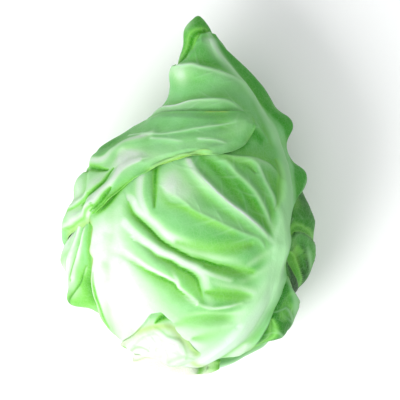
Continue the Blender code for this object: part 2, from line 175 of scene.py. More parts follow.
# %% The form itself
Y, X, HALF_WIDTH, Z, HALF_HEIGHT = range(5)
SPAN_STEPS = 24
SMALLEST_RADIUS = 1.0


class HeadForm:
    """The smooth form of the heart. s runs from 0 at the cut end to 1 at the point, phi is radians."""

    def __init__(self, stations):
        rows = np.asarray(stations, float)
        # past its ends the form comes back inside out, which makes both ends round
        mirror = np.array([1, 1, -1, 1, -1])
        samples = smooth_curve(rows, SPAN_STEPS, (rows[1] * mirror, rows[-2] * mirror))
        steps = np.hypot(np.diff(samples[:, Y]), np.diff(samples[:, HALF_WIDTH]))
        self.s = np.concatenate([[0.0], np.cumsum(steps)])
        self.length = self.s[-1]
        self.s = self.s / self.length
        self.columns = samples.T

    def at(self, s, column):
        return np.interp(s, self.s, self.columns[column])

    def s_of(self, y):
        return np.interp(y, self.columns[Y], self.s)

    def radius(self, s):
        return np.maximum((self.at(s, HALF_WIDTH) + self.at(s, HALF_HEIGHT)) / 2, SMALLEST_RADIUS)

    def point(self, s, phi):
        x = self.at(s, X) + self.at(s, HALF_WIDTH) * np.sin(phi)
        y = np.maximum(self.at(s, Y), BASE_Y)
        z = self.at(s, Z) + self.at(s, HALF_HEIGHT) * np.cos(phi)
        return np.stack([x, y, soft_floor(z, HEART_REST_Z, REST_BLEND)], axis=-1)

    def normal(self, s, phi):
        step = 2e-3
        s = np.clip(s, 3 * step, 1 - 3 * step)
        along = self.point(s + step, phi) - self.point(s - step, phi)
        around = self.point(s, phi + step) - self.point(s, phi - step)
        out = np.cross(around, along)
        return out / np.linalg.norm(out, axis=-1, keepdims=True)


HEAD = HeadForm(HEART_STATIONS)
print("the form is", round(HEAD.length), "mm along its side")

# %% [markdown]
# ## A map of what has been laid so far
# Real leaves lie on each other. To copy that without a simulation we keep a map of the head that
# remembers how high the leaves laid so far reach. A new leaf asks the map for its support, which
# is widened and smoothed a little, as a leaf bridges what it lies on.

# %% The height map
MAP_ROWS, MAP_COLUMNS = 300, 540
MAP_REACH = 2.4


class HeightMap:
    """How high the leaves laid so far reach above the form, over the whole of it."""

    def __init__(self):
        self.height = np.zeros((MAP_ROWS, MAP_COLUMNS))

    def lay(self, s, phi, height):
        row = np.clip(np.rint(s * (MAP_ROWS - 1)).astype(int), 0, MAP_ROWS - 1)
        column = np.rint(phi / (2 * math.pi) * MAP_COLUMNS).astype(int) % MAP_COLUMNS
        np.maximum.at(self.height, (row, column), height)

    def spread(self, rows, combine):
        """Each cell combined with its neighbours within MAP_REACH, round the head and then along it."""
        out = np.empty_like(rows)
        for i, row in enumerate(rows):
            cell = 2 * math.pi * HEAD.radius(i / (MAP_ROWS - 1)) / MAP_COLUMNS
            reach = min(int(math.ceil(MAP_REACH / cell)), MAP_COLUMNS // 6)
            out[i] = combine([np.roll(row, k) for k in range(-reach, reach + 1)])
        reach = int(math.ceil(MAP_REACH / (HEAD.length / MAP_ROWS)))
        padded = np.pad(out, ((reach, reach), (0, 0)), mode="edge")
        return combine([padded[k : k + MAP_ROWS] for k in range(2 * reach + 1)])

    def support(self, s, phi):
        """The height on which a new leaf lies: nowhere lower than what is below it."""
        grown = self.spread(self.height, lambda layers: np.max(layers, axis=0))
        smooth = self.spread(grown, lambda layers: np.mean(layers, axis=0))
        r = np.clip(s, 0, 1) * (MAP_ROWS - 1)
        c = phi / (2 * math.pi) * MAP_COLUMNS
        r0 = np.clip(np.floor(r).astype(int), 0, MAP_ROWS - 2)
        c0 = np.floor(c).astype(int)
        fr, fc = r - r0, c - c0
        c0, c1 = c0 % MAP_COLUMNS, (c0 + 1) % MAP_COLUMNS
        near = smooth[r0, c0] * (1 - fc) + smooth[r0, c1] * fc
        far = smooth[r0 + 1, c0] * (1 - fc) + smooth[r0 + 1, c1] * fc
        return near * (1 - fr) + far * fr


LAID = HeightMap()
print("one cell of the map is about", round(HEAD.length / MAP_ROWS, 2), "mm")

# %% [markdown]
# ## Lines, noise and smoothing on the head
# Veins, folds and creases are all drawn the same way: a line through a few places on the head,
# and then something that depends on the distance from that line. These helpers measure that
# distance, make soft noise for the uneven surface of a living leaf, and blur a grid.

# %% Helpers for lines
def on_head(points, steps=6):
    """A curve through (y, degrees) points, as (s, phi)."""
    curve = smooth_curve(points, steps)
    return np.stack([HEAD.s_of(curve[:, 0]), np.radians(curve[:, 1])], axis=-1)


def unrolled(curve):
    """The (s, phi) curve in millimetres along and round the head, as if the skin were laid flat."""
    return np.stack([curve[:, 0] * HEAD.length, curve[:, 1] * HEAD.radius(curve[:, 0])], axis=-1)


def length_of(curve):
    return np.linalg.norm(np.diff(HEAD.point(*curve.T), axis=0), axis=1).sum()


def evenly(curve, t):
    """The (s, phi) curve read at shares t of its length."""
    steps = np.linalg.norm(np.diff(unrolled(curve), axis=0), axis=1)
    walked = np.concatenate([[0.0], np.cumsum(steps)]) / steps.sum()
    return np.stack([np.interp(t, walked, curve[:, k]) for k in (0, 1)], axis=-1)


def from_line(line, points, normals):
    """Distance of the points from a line on the head, minus on its left, and the share of it passed."""
    nearest = np.full(len(points), 1e9)
    signed, passed = np.zeros(len(points)), np.zeros(len(points))
    lengths = np.linalg.norm(np.diff(line, axis=0), axis=1)
    walked = np.concatenate([[0.0], np.cumsum(lengths)])
    for start, end, length, before in zip(line, line[1:], lengths, walked):
        if length < 1e-9:
            continue
        along = (end - start) / length
        offset = points - start
        share = np.clip(offset @ along, 0, length)
        away = offset - share[:, None] * along
        distance = np.linalg.norm(away, axis=-1)
        side = np.sign(np.einsum("pk,pk->p", np.cross(along, away), normals))
        closer = distance < nearest
        nearest = np.where(closer, distance, nearest)
        signed = np.where(closer, -distance * np.where(side == 0, 1, side), signed)
        passed = np.where(closer, (before + share) / walked[-1], passed)
    return signed, passed


OVER_THE_TOP = ((-100, 0), (0, 0), (100, 0))
print("a line over the top is", round(length_of(on_head(OVER_THE_TOP))), "mm long")

# %% Helpers for noise and blur
NOISE_SHIFT = (17.3, -9.1, 5.7)  # moves each seed to another part of the noise


def ripple(points, size, seed):
    """Soft noise, about -1 to 1, with waves of this size in millimetres."""
    shift = Vector([part * seed for part in NOISE_SHIFT])
    values = [noise.noise(Vector(p) + shift) for p in (points / size).reshape(-1, 3)]
    return np.array(values).reshape(points.shape[:-1])


def eased(share):
    """0 below 0, 1 above 1, and a soft change between."""
    share = np.clip(share, 0.0, 1.0)
    return share * share * (3 - 2 * share)


def bell(distance, half, power=2):
    """1 at no distance and about a third at half. A higher power makes its top flatter."""
    return np.exp(-((distance / half) ** power))


def graded(value, passed):
    """One number, or several spread evenly along a line and read at the share of it passed."""
    return value if np.isscalar(value) else np.interp(passed, np.linspace(0, 1, len(value)), value)


def blurred(grid, cells):
    """The grid averaged over this many cells each way, twice, so that no box shows."""
    for _ in range(2):
        for axis in (0, 1):
            grid = np.moveaxis(grid, axis, 0)
            total = np.cumsum(np.pad(grid, ((cells + 1, cells), (0, 0)), mode="edge"), axis=0)
            grid = np.moveaxis((total[2 * cells + 1 :] - total[: -2 * cells - 1]) / (2 * cells + 1), 0, axis)
    return grid


def refined(grid, parts):
    """The grid with values put in between its own, so many parts to each step."""
    for axis in (0, 1):
        grid = np.moveaxis(grid, axis, 0)
        steps = np.arange((len(grid) - 1) * parts + 1) / parts
        low = np.minimum(steps.astype(int), len(grid) - 2)
        share = (steps - low)[:, None]
        grid = np.moveaxis(grid[low] * (1 - share) + grid[low + 1] * share, 0, axis)
    return grid


print("a bell is down to", round(float(bell(1.0, 1.0)), 2), "at its half width")

# %% [markdown]
# ## What every skin has
# A skin is a grid of places on the head, with a height for each and a few tints. The tints are
# painted while the shape is made, because they go with it: veins are pale and stand out, and
# creases lie deep and are painted with shade and with the yellow-green glow of light through the
# leaf. The pale tint is partly the leaf's own pale and partly painted light, and the deep tint is
# mostly painted shade. They end up as attributes of the mesh, which the finish reads.

# %% A skin: places, heights and tints
# the tint of creases and low places is painted shade, pale is own pale and painted light, deep is mostly
# painted shade
TINTS = ("vein", "hollow", "pale", "deep", "edge")


class Skin:
    """A grid of places on the head. off is how far each stands off what it lies on, ridge is what
    rises above that, and each tint runs from 0 to 1."""

    def __init__(self, name, s, phi, seed):
        self.name, self.s, self.phi, self.seed = name, s, phi, seed
        self.points, self.normals = HEAD.point(s, phi), HEAD.normal(s, phi)
        self.off = np.zeros(s.shape)
        self.ridge = np.zeros(s.shape)
        self.tints = {tint: np.zeros(s.shape) for tint in TINTS}

    def near(self, line, reach):
        """Which places lie within reach of a line, with their distance from it and share of it passed."""
        line = HEAD.point(*line.T)
        low, high = line.min(0) - reach, line.max(0) + reach
        which = np.all((self.points > low) & (self.points < high), axis=-1)
        signed, passed = from_line(line, self.points[which], self.normals[which])
        return which, signed, passed

    def paint(self, tint, which, amount):
        self.tints[tint][which] = np.maximum(self.tints[tint][which], amount)

    def stroke(self, tint, points, amount, left, right, along=(0.5, 1, 1, 1, 0.3)):
        """A tint along a line, fading to its left and right."""
        which, signed, passed = self.near(on_head(points), 3 * max(np.max(left), np.max(right)))
        half = np.where(signed < 0, graded(left, passed), graded(right, passed))
        self.paint(tint, which, amount * graded(along, passed) * bell(signed, half))

    def strokes(self, rows):
        """A table of strokes: tint, line, how strong, how wide on its left and right, and how it
        runs along where that is given."""
        for row in rows:
            self.stroke(*row)
        print(f"{self.name}: {len(rows)} strokes")

    def blob(self, y, degrees, along, round_head):
        """A soft round patch, 1 in its middle."""
        up = (self.s - HEAD.s_of(y)) * HEAD.length / along
        turn = (self.phi - math.radians(degrees) + math.pi) % (2 * math.pi) - math.pi
        across = turn * HEAD.radius(self.s) / round_head
        return np.exp(-(up**2) - across**2)

    def lift(self, y, degrees, along, round_head, height):
        """A soft swelling."""
        self.off += height * self.blob(y, degrees, along, round_head)

    def wash(self, tint, y, degrees, along, round_head, amount):
        """A soft patch of a tint, or one that takes it away where the amount is below 0."""
        self.tints[tint] = np.clip(self.tints[tint] + amount * self.blob(y, degrees, along, round_head), 0, 1)

    def washes(self, rows):
        """A table of washes: tint, y, degrees, reach along and round the head, amount."""
        for row in rows:
            self.wash(*row)
        print(f"{self.name}: {len(rows)} washes")

    def uneven(self, size, height):
        self.off += height * ripple(self.points, size, self.seed)

    def shade_low_places(self, outer, cells, depth, amount):
        """Paints shade into the places that lie lower than what is round them."""
        lower = (blurred(outer, cells) - outer) / depth
        self.tints["hollow"] = np.maximum(self.tints["hollow"], amount * np.clip(lower, 0, 1))


print("every skin has the tints", ", ".join(TINTS))

# %% [markdown]
# ## Folds, valleys and grooves
# Between its veins a living leaf lies in folds with one steep side, sinks into valleys, and has
# narrow troughs where it was pressed. Each is a rise or a dip that depends only on the distance
# from a line. A sculpt brush could do the same by hand, but numbers can be put right later. The
# shade and the highlight that go with the form are painted in the same step.

# %% A skin with folds, valleys and grooves
# creases and valley bottoms carry painted shade, tops and bright slopes a painted highlight
STEEP_FALL, GENTLE_FALL = 2.0, 2.6
CREASE_SINK, CREASE_CORE = 0.22, 0.9
VALLEY_FALL = 1.4  # below 2, so that the bottom is sharp
BRIGHT_REACH, BRIGHT_CORE = 0.7, 0.6
GLOW_NARROW, GLOW_WIDE = 0.5, 0.7  # shares of the two widths of a fold
BRIGHT_AT, BRIGHT_HALF = 0.6, 0.5  # shares of the right width of a valley
GROOVE_SHADE_WIDTH = 1.25


class FoldedSkin(Skin):
    def fold(self, points, height, left, right, along=(0.6, 1, 1, 0.7, 0), crease=0.0, reach=3.0, glow=0.0):
        """A fold this wide on its left and right. Its steeper side ends in a crease with painted shade,
        darkest in its core, that reaches some millimetres on, and glow paints a highlight on its top."""
        widest = max(np.max(left), np.max(right), np.max(reach))
        which, signed, passed = self.near(on_head(points), 3 * widest)
        left, right, size, crease, reach, glow = (
            graded(value, passed) for value in (left, right, along, crease, reach, glow)
        )
        if np.mean(left) < np.mean(right):
            beside, narrow, wide = -signed, left, right
        else:
            beside, narrow, wide = signed, right, left
        share = np.abs(beside) / np.where(beside > 0, narrow, wide)
        self.off[which] += height * size * np.exp(-(share ** np.where(beside > 0, STEEP_FALL, GENTLE_FALL)))
        beyond = np.maximum(beside - narrow, 0)
        # painted shade in the crease beyond the steep side
        crease_shade = 0.5 * bell(beyond, reach) + 0.5 * bell(beyond, CREASE_CORE)
        crease_shade = eased(beside / narrow) * crease_shade * np.clip(crease, 0, 1)
        self.off[which] -= CREASE_SINK * height * size * crease_shade
        self.paint("hollow", which, crease_shade)
        # painted highlight on the top of the fold
        top = np.where(beside > 0, GLOW_NARROW * narrow, GLOW_WIDE * wide)
        self.paint("pale", which, np.clip(glow * bell(beside, top), 0, 1))

    def valley(self, points, depth, left, right, along, dark, reach, core, glow=0.0):
        """A sharp valley between two swellings, this wide on its left and right. Its left slope turns
        away from the window and is painted with shade, and its right slope with a highlight."""
        widest = max(np.max(left), np.max(right), np.max(reach))
        which, signed, passed = self.near(on_head(points), 3 * widest)
        left, right, size, dark, reach, core, glow = (
            graded(value, passed) for value in (left, right, along, dark, reach, core, glow)
        )
        away = np.abs(signed)
        self.off[which] -= depth * size * bell(away, np.where(signed < 0, left, right), VALLEY_FALL)
        # painted shade on the left slope and in the bottom of the valley
        pocket = dark * bell(away, np.where(signed < 0, reach, BRIGHT_REACH))
        bottom = size * dark * bell(away, np.where(signed < 0, core, BRIGHT_CORE))
        self.paint("hollow", which, np.clip(0.5 * pocket + 0.5 * bottom, 0, 1))
        # painted highlight on the right slope
        slope = bell(signed - BRIGHT_AT * right, BRIGHT_HALF * right) * (signed > 0)
        self.paint("pale", which, np.clip(glow * slope, 0, 1))

    def groove(self, points, depth, width, tint=1.0, widths=(0.5, 1, 1, 1, 0.4)):
        """A narrow trough with painted shade in it."""
        which, signed, passed = self.near(on_head(points), 4 * width)
        half = width * graded(widths, passed)
        self.off[which] -= depth * bell(signed, half)
        self.paint("hollow", which, tint * bell(signed, GROOVE_SHADE_WIDTH * half))


print("a crease sinks by", CREASE_SINK, "of the height of its fold")

# %% [markdown]
# ## Veins
# A vein is a low pale ridge that tapers to its end. Fine ones leave it on both sides in turn and
# bend towards its end. They are grown step by step, a little at random, because no two are
# alike. Each vein draws its own seeded random numbers, so the leaf is the same every time.

# %% A skin with veins
VEIN_TAPER, VEIN_TINT_WIDTH = 5, 1.2  # a vein fades out over the last fifth of its length
TWIG_START, TWIG_END = 0.1, 0.95  # shares of the length of the vein they grow on
TWIG_STEP, UNEVEN_SPACING = 1.5, (0.7, 1.3)
TWIG_ANGLE, ANGLE_SPREAD = 46, 8
TWIG_BEND, BEND_SPREAD = 1.2, 2
TWIG_HEIGHT, TWIG_WIDTH, TWIG_TINT = (0.25, 0.06), (0.75, 0.45), (0.26, 0.05)


class VeinedSkin(FoldedSkin):
    def draw_vein(self, curve, height, width, tint):
        """A raised, pale vein along an (s, phi) curve. Its three values run from root to end."""
        which, signed, passed = self.near(curve, 3 * max(width))
        half, end = graded(width, passed), np.clip(VEIN_TAPER * (1 - passed), 0, 1)
        rise = graded(height, passed) * end * bell(signed, half)
        self.ridge[which] = np.maximum(self.ridge[which], rise)
        self.paint("vein", which, graded(tint, passed) * end * bell(signed, VEIN_TINT_WIDTH * half))

    def vein(self, points, height, width, tint):
        self.draw_vein(on_head(points), height, width, tint)

    def twig(self, draw, place, heading, side, length):
        """A fine vein from a place on a vein that runs in the direction of heading."""
        turn = side * math.radians(TWIG_ANGLE + draw.uniform(-ANGLE_SPREAD, ANGLE_SPREAD))
        s, phi = place
        path = [(s, phi)]
        for _ in range(int(draw.uniform(*length) / TWIG_STEP)):
            s += TWIG_STEP * math.cos(heading + turn) / HEAD.length
            phi += TWIG_STEP * math.sin(heading + turn) / float(HEAD.radius(s))
            turn -= side * math.radians(TWIG_BEND + draw.uniform(-BEND_SPREAD, BEND_SPREAD))
            path.append((s, phi))
        self.draw_vein(np.array(path), TWIG_HEIGHT, TWIG_WIDTH, TWIG_TINT)

    def branches(self, points, spacing=8.0, length=(9, 20)):
        """Fine veins that leave a vein on both sides in turn and bend towards its end."""
        draw = random.Random(self.seed * 100 + len(self.name) + int(abs(points[0][0])))
        line = on_head(points, 10)
        flat = unrolled(line)
        walked = np.concatenate([[0], np.cumsum(np.linalg.norm(np.diff(flat, axis=0), axis=1))])
        place, side = walked[-1] * TWIG_START + spacing * draw.random(), draw.choice((-1, 1))
        while place < walked[-1] * TWIG_END:
            k = min(int(np.searchsorted(walked, place)), len(line) - 2)
            heading = math.atan2(*(flat[k + 1] - flat[k])[::-1])
            self.twig(draw, line[k], heading, side, length)
            place += spacing * draw.uniform(*UNEVEN_SPACING)
            side = -side

    def side_veins(self, lines, fold, half, height, width, tint, **twigs):
        """Side veins: each runs on a soft fold of the blade and sends out fine branches."""
        for line in lines:
            self.fold(line, fold, half, half)
            self.vein(line, height, width, tint)
            self.branches(line, **twigs)


print("fine veins leave at about", TWIG_ANGLE, "degrees")

# %% [markdown]
# ## What makes a skin a leaf
# A leaf has a midrib and two margins. Rows run from its base to its tip and columns from margin
# to margin, so that the grid follows the leaf as its own veins do. The blade is 1.3 mm thick like
# the solid, but thins out to under half a millimetre at the margin, where it also settles onto
# what it lies on: that is what keeps it from looking like a cut-out board.

# %% Leaf: margins, midrib and blade
BLADE, CLEARANCE = 1.3, 1.1
EDGE_BLADE, EDGE_RISE = 0.45, 0.95
PRESSED = 0.5
RIB_FALL, RIB_TINT_FALL, FRILL_FALL = 2.6, 3, 1.5
RIB_TINT_WIDTH, FRILL_WOBBLE, FRILL_START = 0.95, 0.35, 6
LARGE_TEARS, SMALL_TEARS = (0.75, 11.0), (0.45, 3.2)  # how strong, and how long in millimetres
TEAR_FALL = 6  # the higher, the closer to the margin the tears stay
SIDES_APART = 50.0  # the two margins read parts of the noise this far apart


def steps_across(left, right, crowd=0.35):
    """Steps from -1 to 1, so many on each side of the rib and closer together near it."""
    even = np.concatenate([np.linspace(-1, 0, left, endpoint=False), np.linspace(0, 1, right + 1)])
    return even * (1 - crowd) + crowd * even**3


class Leaf(VeinedSkin):
    """A leaf between two margins, its midrib and left and right margin given as (y, degrees)."""

    def __init__(self, name, rib, left, right, steps, fan=(1.0, 1.0), rag=0.8, seed=1, settle=9.0):
        t, w = np.meshgrid(np.linspace(0, 1, steps[0]), steps_across(*steps[1:]), indexing="ij")
        self.rib = on_head(rib, 12)
        middle = evenly(self.rib, t)
        edges = [evenly(on_head(edge), t**rise) for edge, rise in zip((left, right), fan)]
        for k, way in enumerate((-1, 1)):
            toward = edges[k] - middle
            half = np.hypot(toward[..., 0] * HEAD.length, toward[..., 1] * HEAD.radius(middle[..., 0])) + 1.0
            spot = np.stack([t * length_of(self.rib), np.full_like(t, SIDES_APART * way), 0 * t], axis=-1)
            jag = LARGE_TEARS[0] * ripple(spot, LARGE_TEARS[1], seed)
            jag = jag + SMALL_TEARS[0] * ripple(spot, SMALL_TEARS[1], seed + 1)
            reach = np.maximum(w * way, 0)
            middle = middle + toward * (reach + rag * jag / half * reach**TEAR_FALL)[..., None]
        super().__init__(name, middle[..., 0], middle[..., 1], seed)
        self.t, self.w = t, w
        self.measure_margins()
        self.settle(settle, settle, settle)

    def measure_margins(self):
        across = np.linalg.norm(np.diff(self.points, axis=1), axis=-1)
        self.from_left = np.pad(np.cumsum(across, axis=1), ((0, 0), (1, 0)))
        self.from_right = self.from_left[:, -1:] - self.from_left
        up = np.linalg.norm(np.diff(self.points, axis=0), axis=-1)
        walked = np.pad(np.cumsum(up, axis=0), ((1, 0), (0, 0)))
        self.to_tip = walked[-1:] - walked

    def settle(self, left, right, tip):
        """How far in from each margin the blade has risen to its full height, in millimetres."""
        shares = (self.from_left / left, self.from_right / right, self.to_tip / tip)
        self.settled = eased(np.minimum.reduce(shares))

    def midrib(self, height, half, tint):
        """The midrib with a flat back and soft shoulders. All three values run from base to tip."""
        distance, _ = from_line(
            HEAD.point(*self.rib.T), self.points.reshape(-1, 3), self.normals.reshape(-1, 3)
        )
        distance = np.abs(distance).reshape(self.t.shape)
        half = graded(half, self.t)
        self.ridge = np.maximum(self.ridge, graded(height, self.t) * bell(distance, half, RIB_FALL))
        colour = graded(tint, self.t) * bell(distance, RIB_TINT_WIDTH * half, RIB_TINT_FALL)
        self.tints["vein"] = np.maximum(self.tints["vein"], colour)

    def frill(self, side, height, waves, phase, reach=7.0):
        """Waves of the margin that die out into the blade."""
        away = {"left": self.from_left, "right": self.from_right, "tip": self.to_tip}[side]
        along = self.t if side != "tip" else 0.5 + 0.5 * self.w
        spot = np.stack([along * waves, 0 * along, 0 * along], axis=-1)
        wobble = FRILL_WOBBLE * ripple(spot, 1.0, self.seed + 7)
        swing = 0.5 + 0.5 * np.sin(2 * math.pi * (waves * along + phase + wobble))
        self.off += height * swing * bell(away, reach, FRILL_FALL) * np.clip(FRILL_START * self.t, 0, 1)

    def lay(self, slack, finish, slot, edge=(1.2, 0.5, 0.5, 0.5), hollow=(5, 0.8, 0.8), edge_rise=EDGE_RISE):
        """Lays the leaf on what is below it, makes its mesh and puts it in the place of the solid.
        edge is how wide the yellow of its margin is and how strong on the left, right and tip."""
        rise = edge_rise + (CLEARANCE + BLADE + slack - edge_rise) * self.settled
        base = LAID.support(self.s, self.phi) + rise + np.maximum(self.off, -slack * self.settled)
        outer = base + self.ridge
        inner = base - (EDGE_BLADE + (BLADE - EDGE_BLADE) * self.settled)
        self.shade_low_places(outer, *hollow)
        for away, amount in zip((self.from_left, self.from_right, self.to_tip), edge[1:]):
            self.tints["edge"] = np.maximum(self.tints["edge"], amount * bell(away, edge[0]))
        high = self.points + self.normals * outer[..., None]
        low = self.points + self.normals * inner[..., None]
        high[..., 2] = np.maximum(high[..., 2], 0.0)
        low[..., 2] = np.maximum(low[..., 2], PRESSED)
        LAID.lay(*(refined(grid, 3) for grid in (self.s, self.phi, outer)))
        mesh = closed_sheet(self.name, high, low, self.tints)
        put_in_place(self.name, mesh, finish)


print("a blade is", BLADE, "mm thick and", EDGE_BLADE, "mm at its margin")

# %% [markdown]
# ## From grids to meshes
# The outer face of a leaf needs a fine grid for its veins. Its inner face is hardly seen, so it
# gets every second point only, and a rim joins the two. That closes the sheet where the grid has
# an odd number of rows. Five leaves have an even number, and each keeps a tiny hole of four edges
# at the foot of its left margin. Blender takes such a mesh as plain lists of points and faces.

# %% Sheets with a rim
def quads(grid, turned=False):
    """Faces between neighbouring rows and columns of a grid of point numbers."""
    corners = (grid[:-1, :-1], grid[:-1, 1:], grid[1:, 1:], grid[1:, :-1])
    faces = np.stack([c.ravel() for c in corners], axis=-1)
    return faces[:, ::-1] if turned else faces


def round_the_rim(grid):
    """The point numbers round the outside of a grid, once round."""
    return np.concatenate([grid[0, :-1], grid[:-1, -1], grid[-1, :0:-1], grid[:0:-1, 0]])


def closed_sheet(name, outer, inner, tints):
    """A sheet with a fine outer face, a coarse inner one and a rim between them."""
    fine = np.arange(outer[..., 0].size).reshape(outer.shape[:2])
    inner = inner[::2, ::2]
    coarse = fine.size + np.arange(inner[..., 0].size).reshape(inner.shape[:2])
    faces = quads(fine).tolist() + quads(coarse, turned=True).tolist()
    above, below = round_the_rim(fine).tolist(), round_the_rim(coarse).tolist()
    above.append(above[0])
    below.append(below[0])
    for k in range(len(below) - 1):
        a, b, c = above[2 * k : 2 * k + 3]
        faces += [(b, a, below[k]), (c, b, below[k], below[k + 1])]
    points = np.vstack([outer.reshape(-1, 3), inner.reshape(-1, 3)]) * MM
    values = {k: np.concatenate([v.ravel(), v[::2, ::2].ravel()]) for k, v in tints.items()}
    return tinted_mesh(name, points, faces, values)


def tinted_mesh(name, points, faces, values):
    """A mesh whose tints are attributes of its points."""
    mesh = bpy.data.meshes.new(name)
    mesh.from_pydata(points.tolist(), [], faces)
    for tint, value in values.items():
        mesh.attributes.new(tint, "FLOAT", "POINT").data.foreach_set("value", value.astype(np.float32))
    mesh.shade_smooth()
    mesh.update()
    return mesh


def put_in_place(node, mesh, finish):
    """A new piece that stands for one of the solids."""
    piece = bpy.data.objects.new("dressed_" + node, mesh)
    scene.collection.objects.link(piece)
    mesh.materials.append(finish)
    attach(piece, "root")
    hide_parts(node)
    triangles = sum(len(p.vertices) - 2 for p in mesh.polygons)
    print(f"{node}: {triangles} triangles")


print("a grid of 3 by 3 points has", len(quads(np.arange(9).reshape(3, 3))), "faces")

# %% [markdown]
# ## Finishes
# A cabbage leaf is a waxy green with a pale bloom. Up close it shows a fine net of veins, soft
# clouds of lighter and darker green and a slightly pebbled skin. All of it comes from noise and
# cell patterns at the right scale, steered by the tints of the mesh, so nothing has to be
# unwrapped. Creases get a painted saturated yellow-green: painted shade, and the glow of light
# that has gone through two layers of leaf. The pale and deep greens of the tints also carry
# painted light and shade.

# %% A small helper for building finishes
NET_WOBBLES, NET_WOBBLE = 320.0, 0.0022


class Finish:
    """A material and the nodes in it. Each call adds one node and gives back its output."""

    def __init__(self, name):
        self.material = bpy.data.materials.new(name)
        self.material.use_nodes = True
        self.tree = self.material.node_tree
        self.shader = self.tree.nodes["Principled BSDF"]

    def add(self, kind, inputs, output=0, **settings):
        node = self.tree.nodes.new("ShaderNode" + kind)
        for key, value in settings.items():
            setattr(node, key, value)
        for key, value in inputs.items():
            self.give(node.inputs[key], value)
        return node.outputs[output]

    def give(self, socket, value):
        if isinstance(value, bpy.types.NodeSocket):
            self.tree.links.new(value, socket)
        else:
            socket.default_value = value

    def tint(self, name):
        return self.add("Attribute", {}, "Fac", attribute_name=name, attribute_type="GEOMETRY")

    def place(self):
        return self.add("TexCoord", {}, "Object")

    def cloud(self, size_mm, detail=2.0, roughness=0.5, distortion=0.0):
        inputs = {"Vector": self.place(), "Scale": 1000.0 / size_mm, "Detail": detail,
                  "Roughness": roughness, "Distortion": distortion}
        return self.add("TexNoise", inputs, "Fac")

    def maths(self, operation, a, b):
        return self.add("Math", {0: a, 1: b}, operation=operation)

    def spread(self, value, low, high, to_low=0.0, to_high=1.0):
        inputs = {"Value": value, "From Min": low, "From Max": high, "To Min": to_low, "To Max": to_high}
        return self.add("MapRange", inputs, clamp=True)

    def blend(self, share, one, other):
        return self.add("Mix", {0: share, 6: one, 7: other}, 2, data_type="RGBA")

    def two_steps(self, colour, value, first, second, first_full=0.5, second_from=0.45):
        """The colour turns into the first one as the value rises, and then into the second."""
        colour = self.blend(self.spread(value, 0.0, first_full), colour, first)
        return self.blend(self.spread(value, second_from, 1.0), colour, second)

    def net(self, size_mm, line):
        """Thin lines between cells of this size, 1 on the line."""
        noisy = {"Vector": self.place(), "Scale": NET_WOBBLES, "Detail": 1.0}
        wobbly = self.add("TexNoise", noisy, "Color")
        mixed = {0: NET_WOBBLE, 4: self.place(), 5: wobbly}
        shifted = self.add("Mix", mixed, 1, data_type="VECTOR", clamp_factor=True)
        cells = self.add("TexVoronoi", {"Vector": shifted, "Scale": 1000.0 / size_mm}, "Distance",
                         feature="DISTANCE_TO_EDGE")
        return self.spread(cells, 0.0, line, 1.0, 0.0)

    def surface(self, colour, roughness, height, reach_mm, specular=0.5):
        """Ends the finish: colour, roughness and bump go to the shader."""
        self.give(self.shader.inputs["Base Color"], colour)
        self.give(self.shader.inputs["Roughness"], roughness)
        bump = self.add("Bump", {"Strength": 1.0, "Distance": reach_mm * MM, "Height": height}, "Normal")
        self.give(self.shader.inputs["Normal"], bump)
        self.shader.inputs["Specular IOR Level"].default_value = specular

    def see_through(self, weight, radius, scale):
        """How much light wanders on under the surface, and how far for red, green and blue."""
        self.shader.inputs["Subsurface Weight"].default_value = weight
        self.shader.inputs["Subsurface Radius"].default_value = radius
        self.shader.inputs["Subsurface Scale"].default_value = scale


print("a finish reads the tints", ", ".join(TINTS))

# %% The leaf finish
def rgb(red, green, blue):
    return (red, green, blue, 1.0)


VEIN_MINT = rgb(0.37, 0.64, 0.35)
RIB_WHITE = rgb(0.60, 0.68, 0.63)
# painted shade in pockets and creases, with the glow of light through the leaf
POCKET_SHADE_GREEN = rgb(0.165, 0.48, 0.075)
CREASE_SHADE_GREEN = rgb(0.030, 0.24, 0.003)
# the pale tint: the leaf's own pale and painted light
LIME = rgb(0.33, 0.60, 0.29)
CREAM = rgb(0.58, 0.66, 0.58)
EDGE_YELLOW = rgb(0.30, 0.48, 0.09)
CLOUD_MM, MOTTLE_MM, GRAIN_MM = 30.0, 5.5, 0.9
MOTTLE_SHARE, PALE_IN_MOTTLE = 0.22, 0.88
SMALL_NET = (2.3, 0.09, 0.09)  # size of its cells in millimetres, width of its lines, how strong
LARGE_NET = (7.0, 0.045, 0.10)
GRAIN_BUMP, NET_BUMP, MOTTLE_BUMP = 0.35, 1.6, 0.5
LEAF_BUMP_MM, LEAST_ROUGH, MOST_ROUGH, SHINE = 0.2, 0.40, 0.52, 0.10
SEE_THROUGH, LIGHT_REACH, REACH_SCALE = 0.12, (0.6, 1.0, 0.25), 0.003


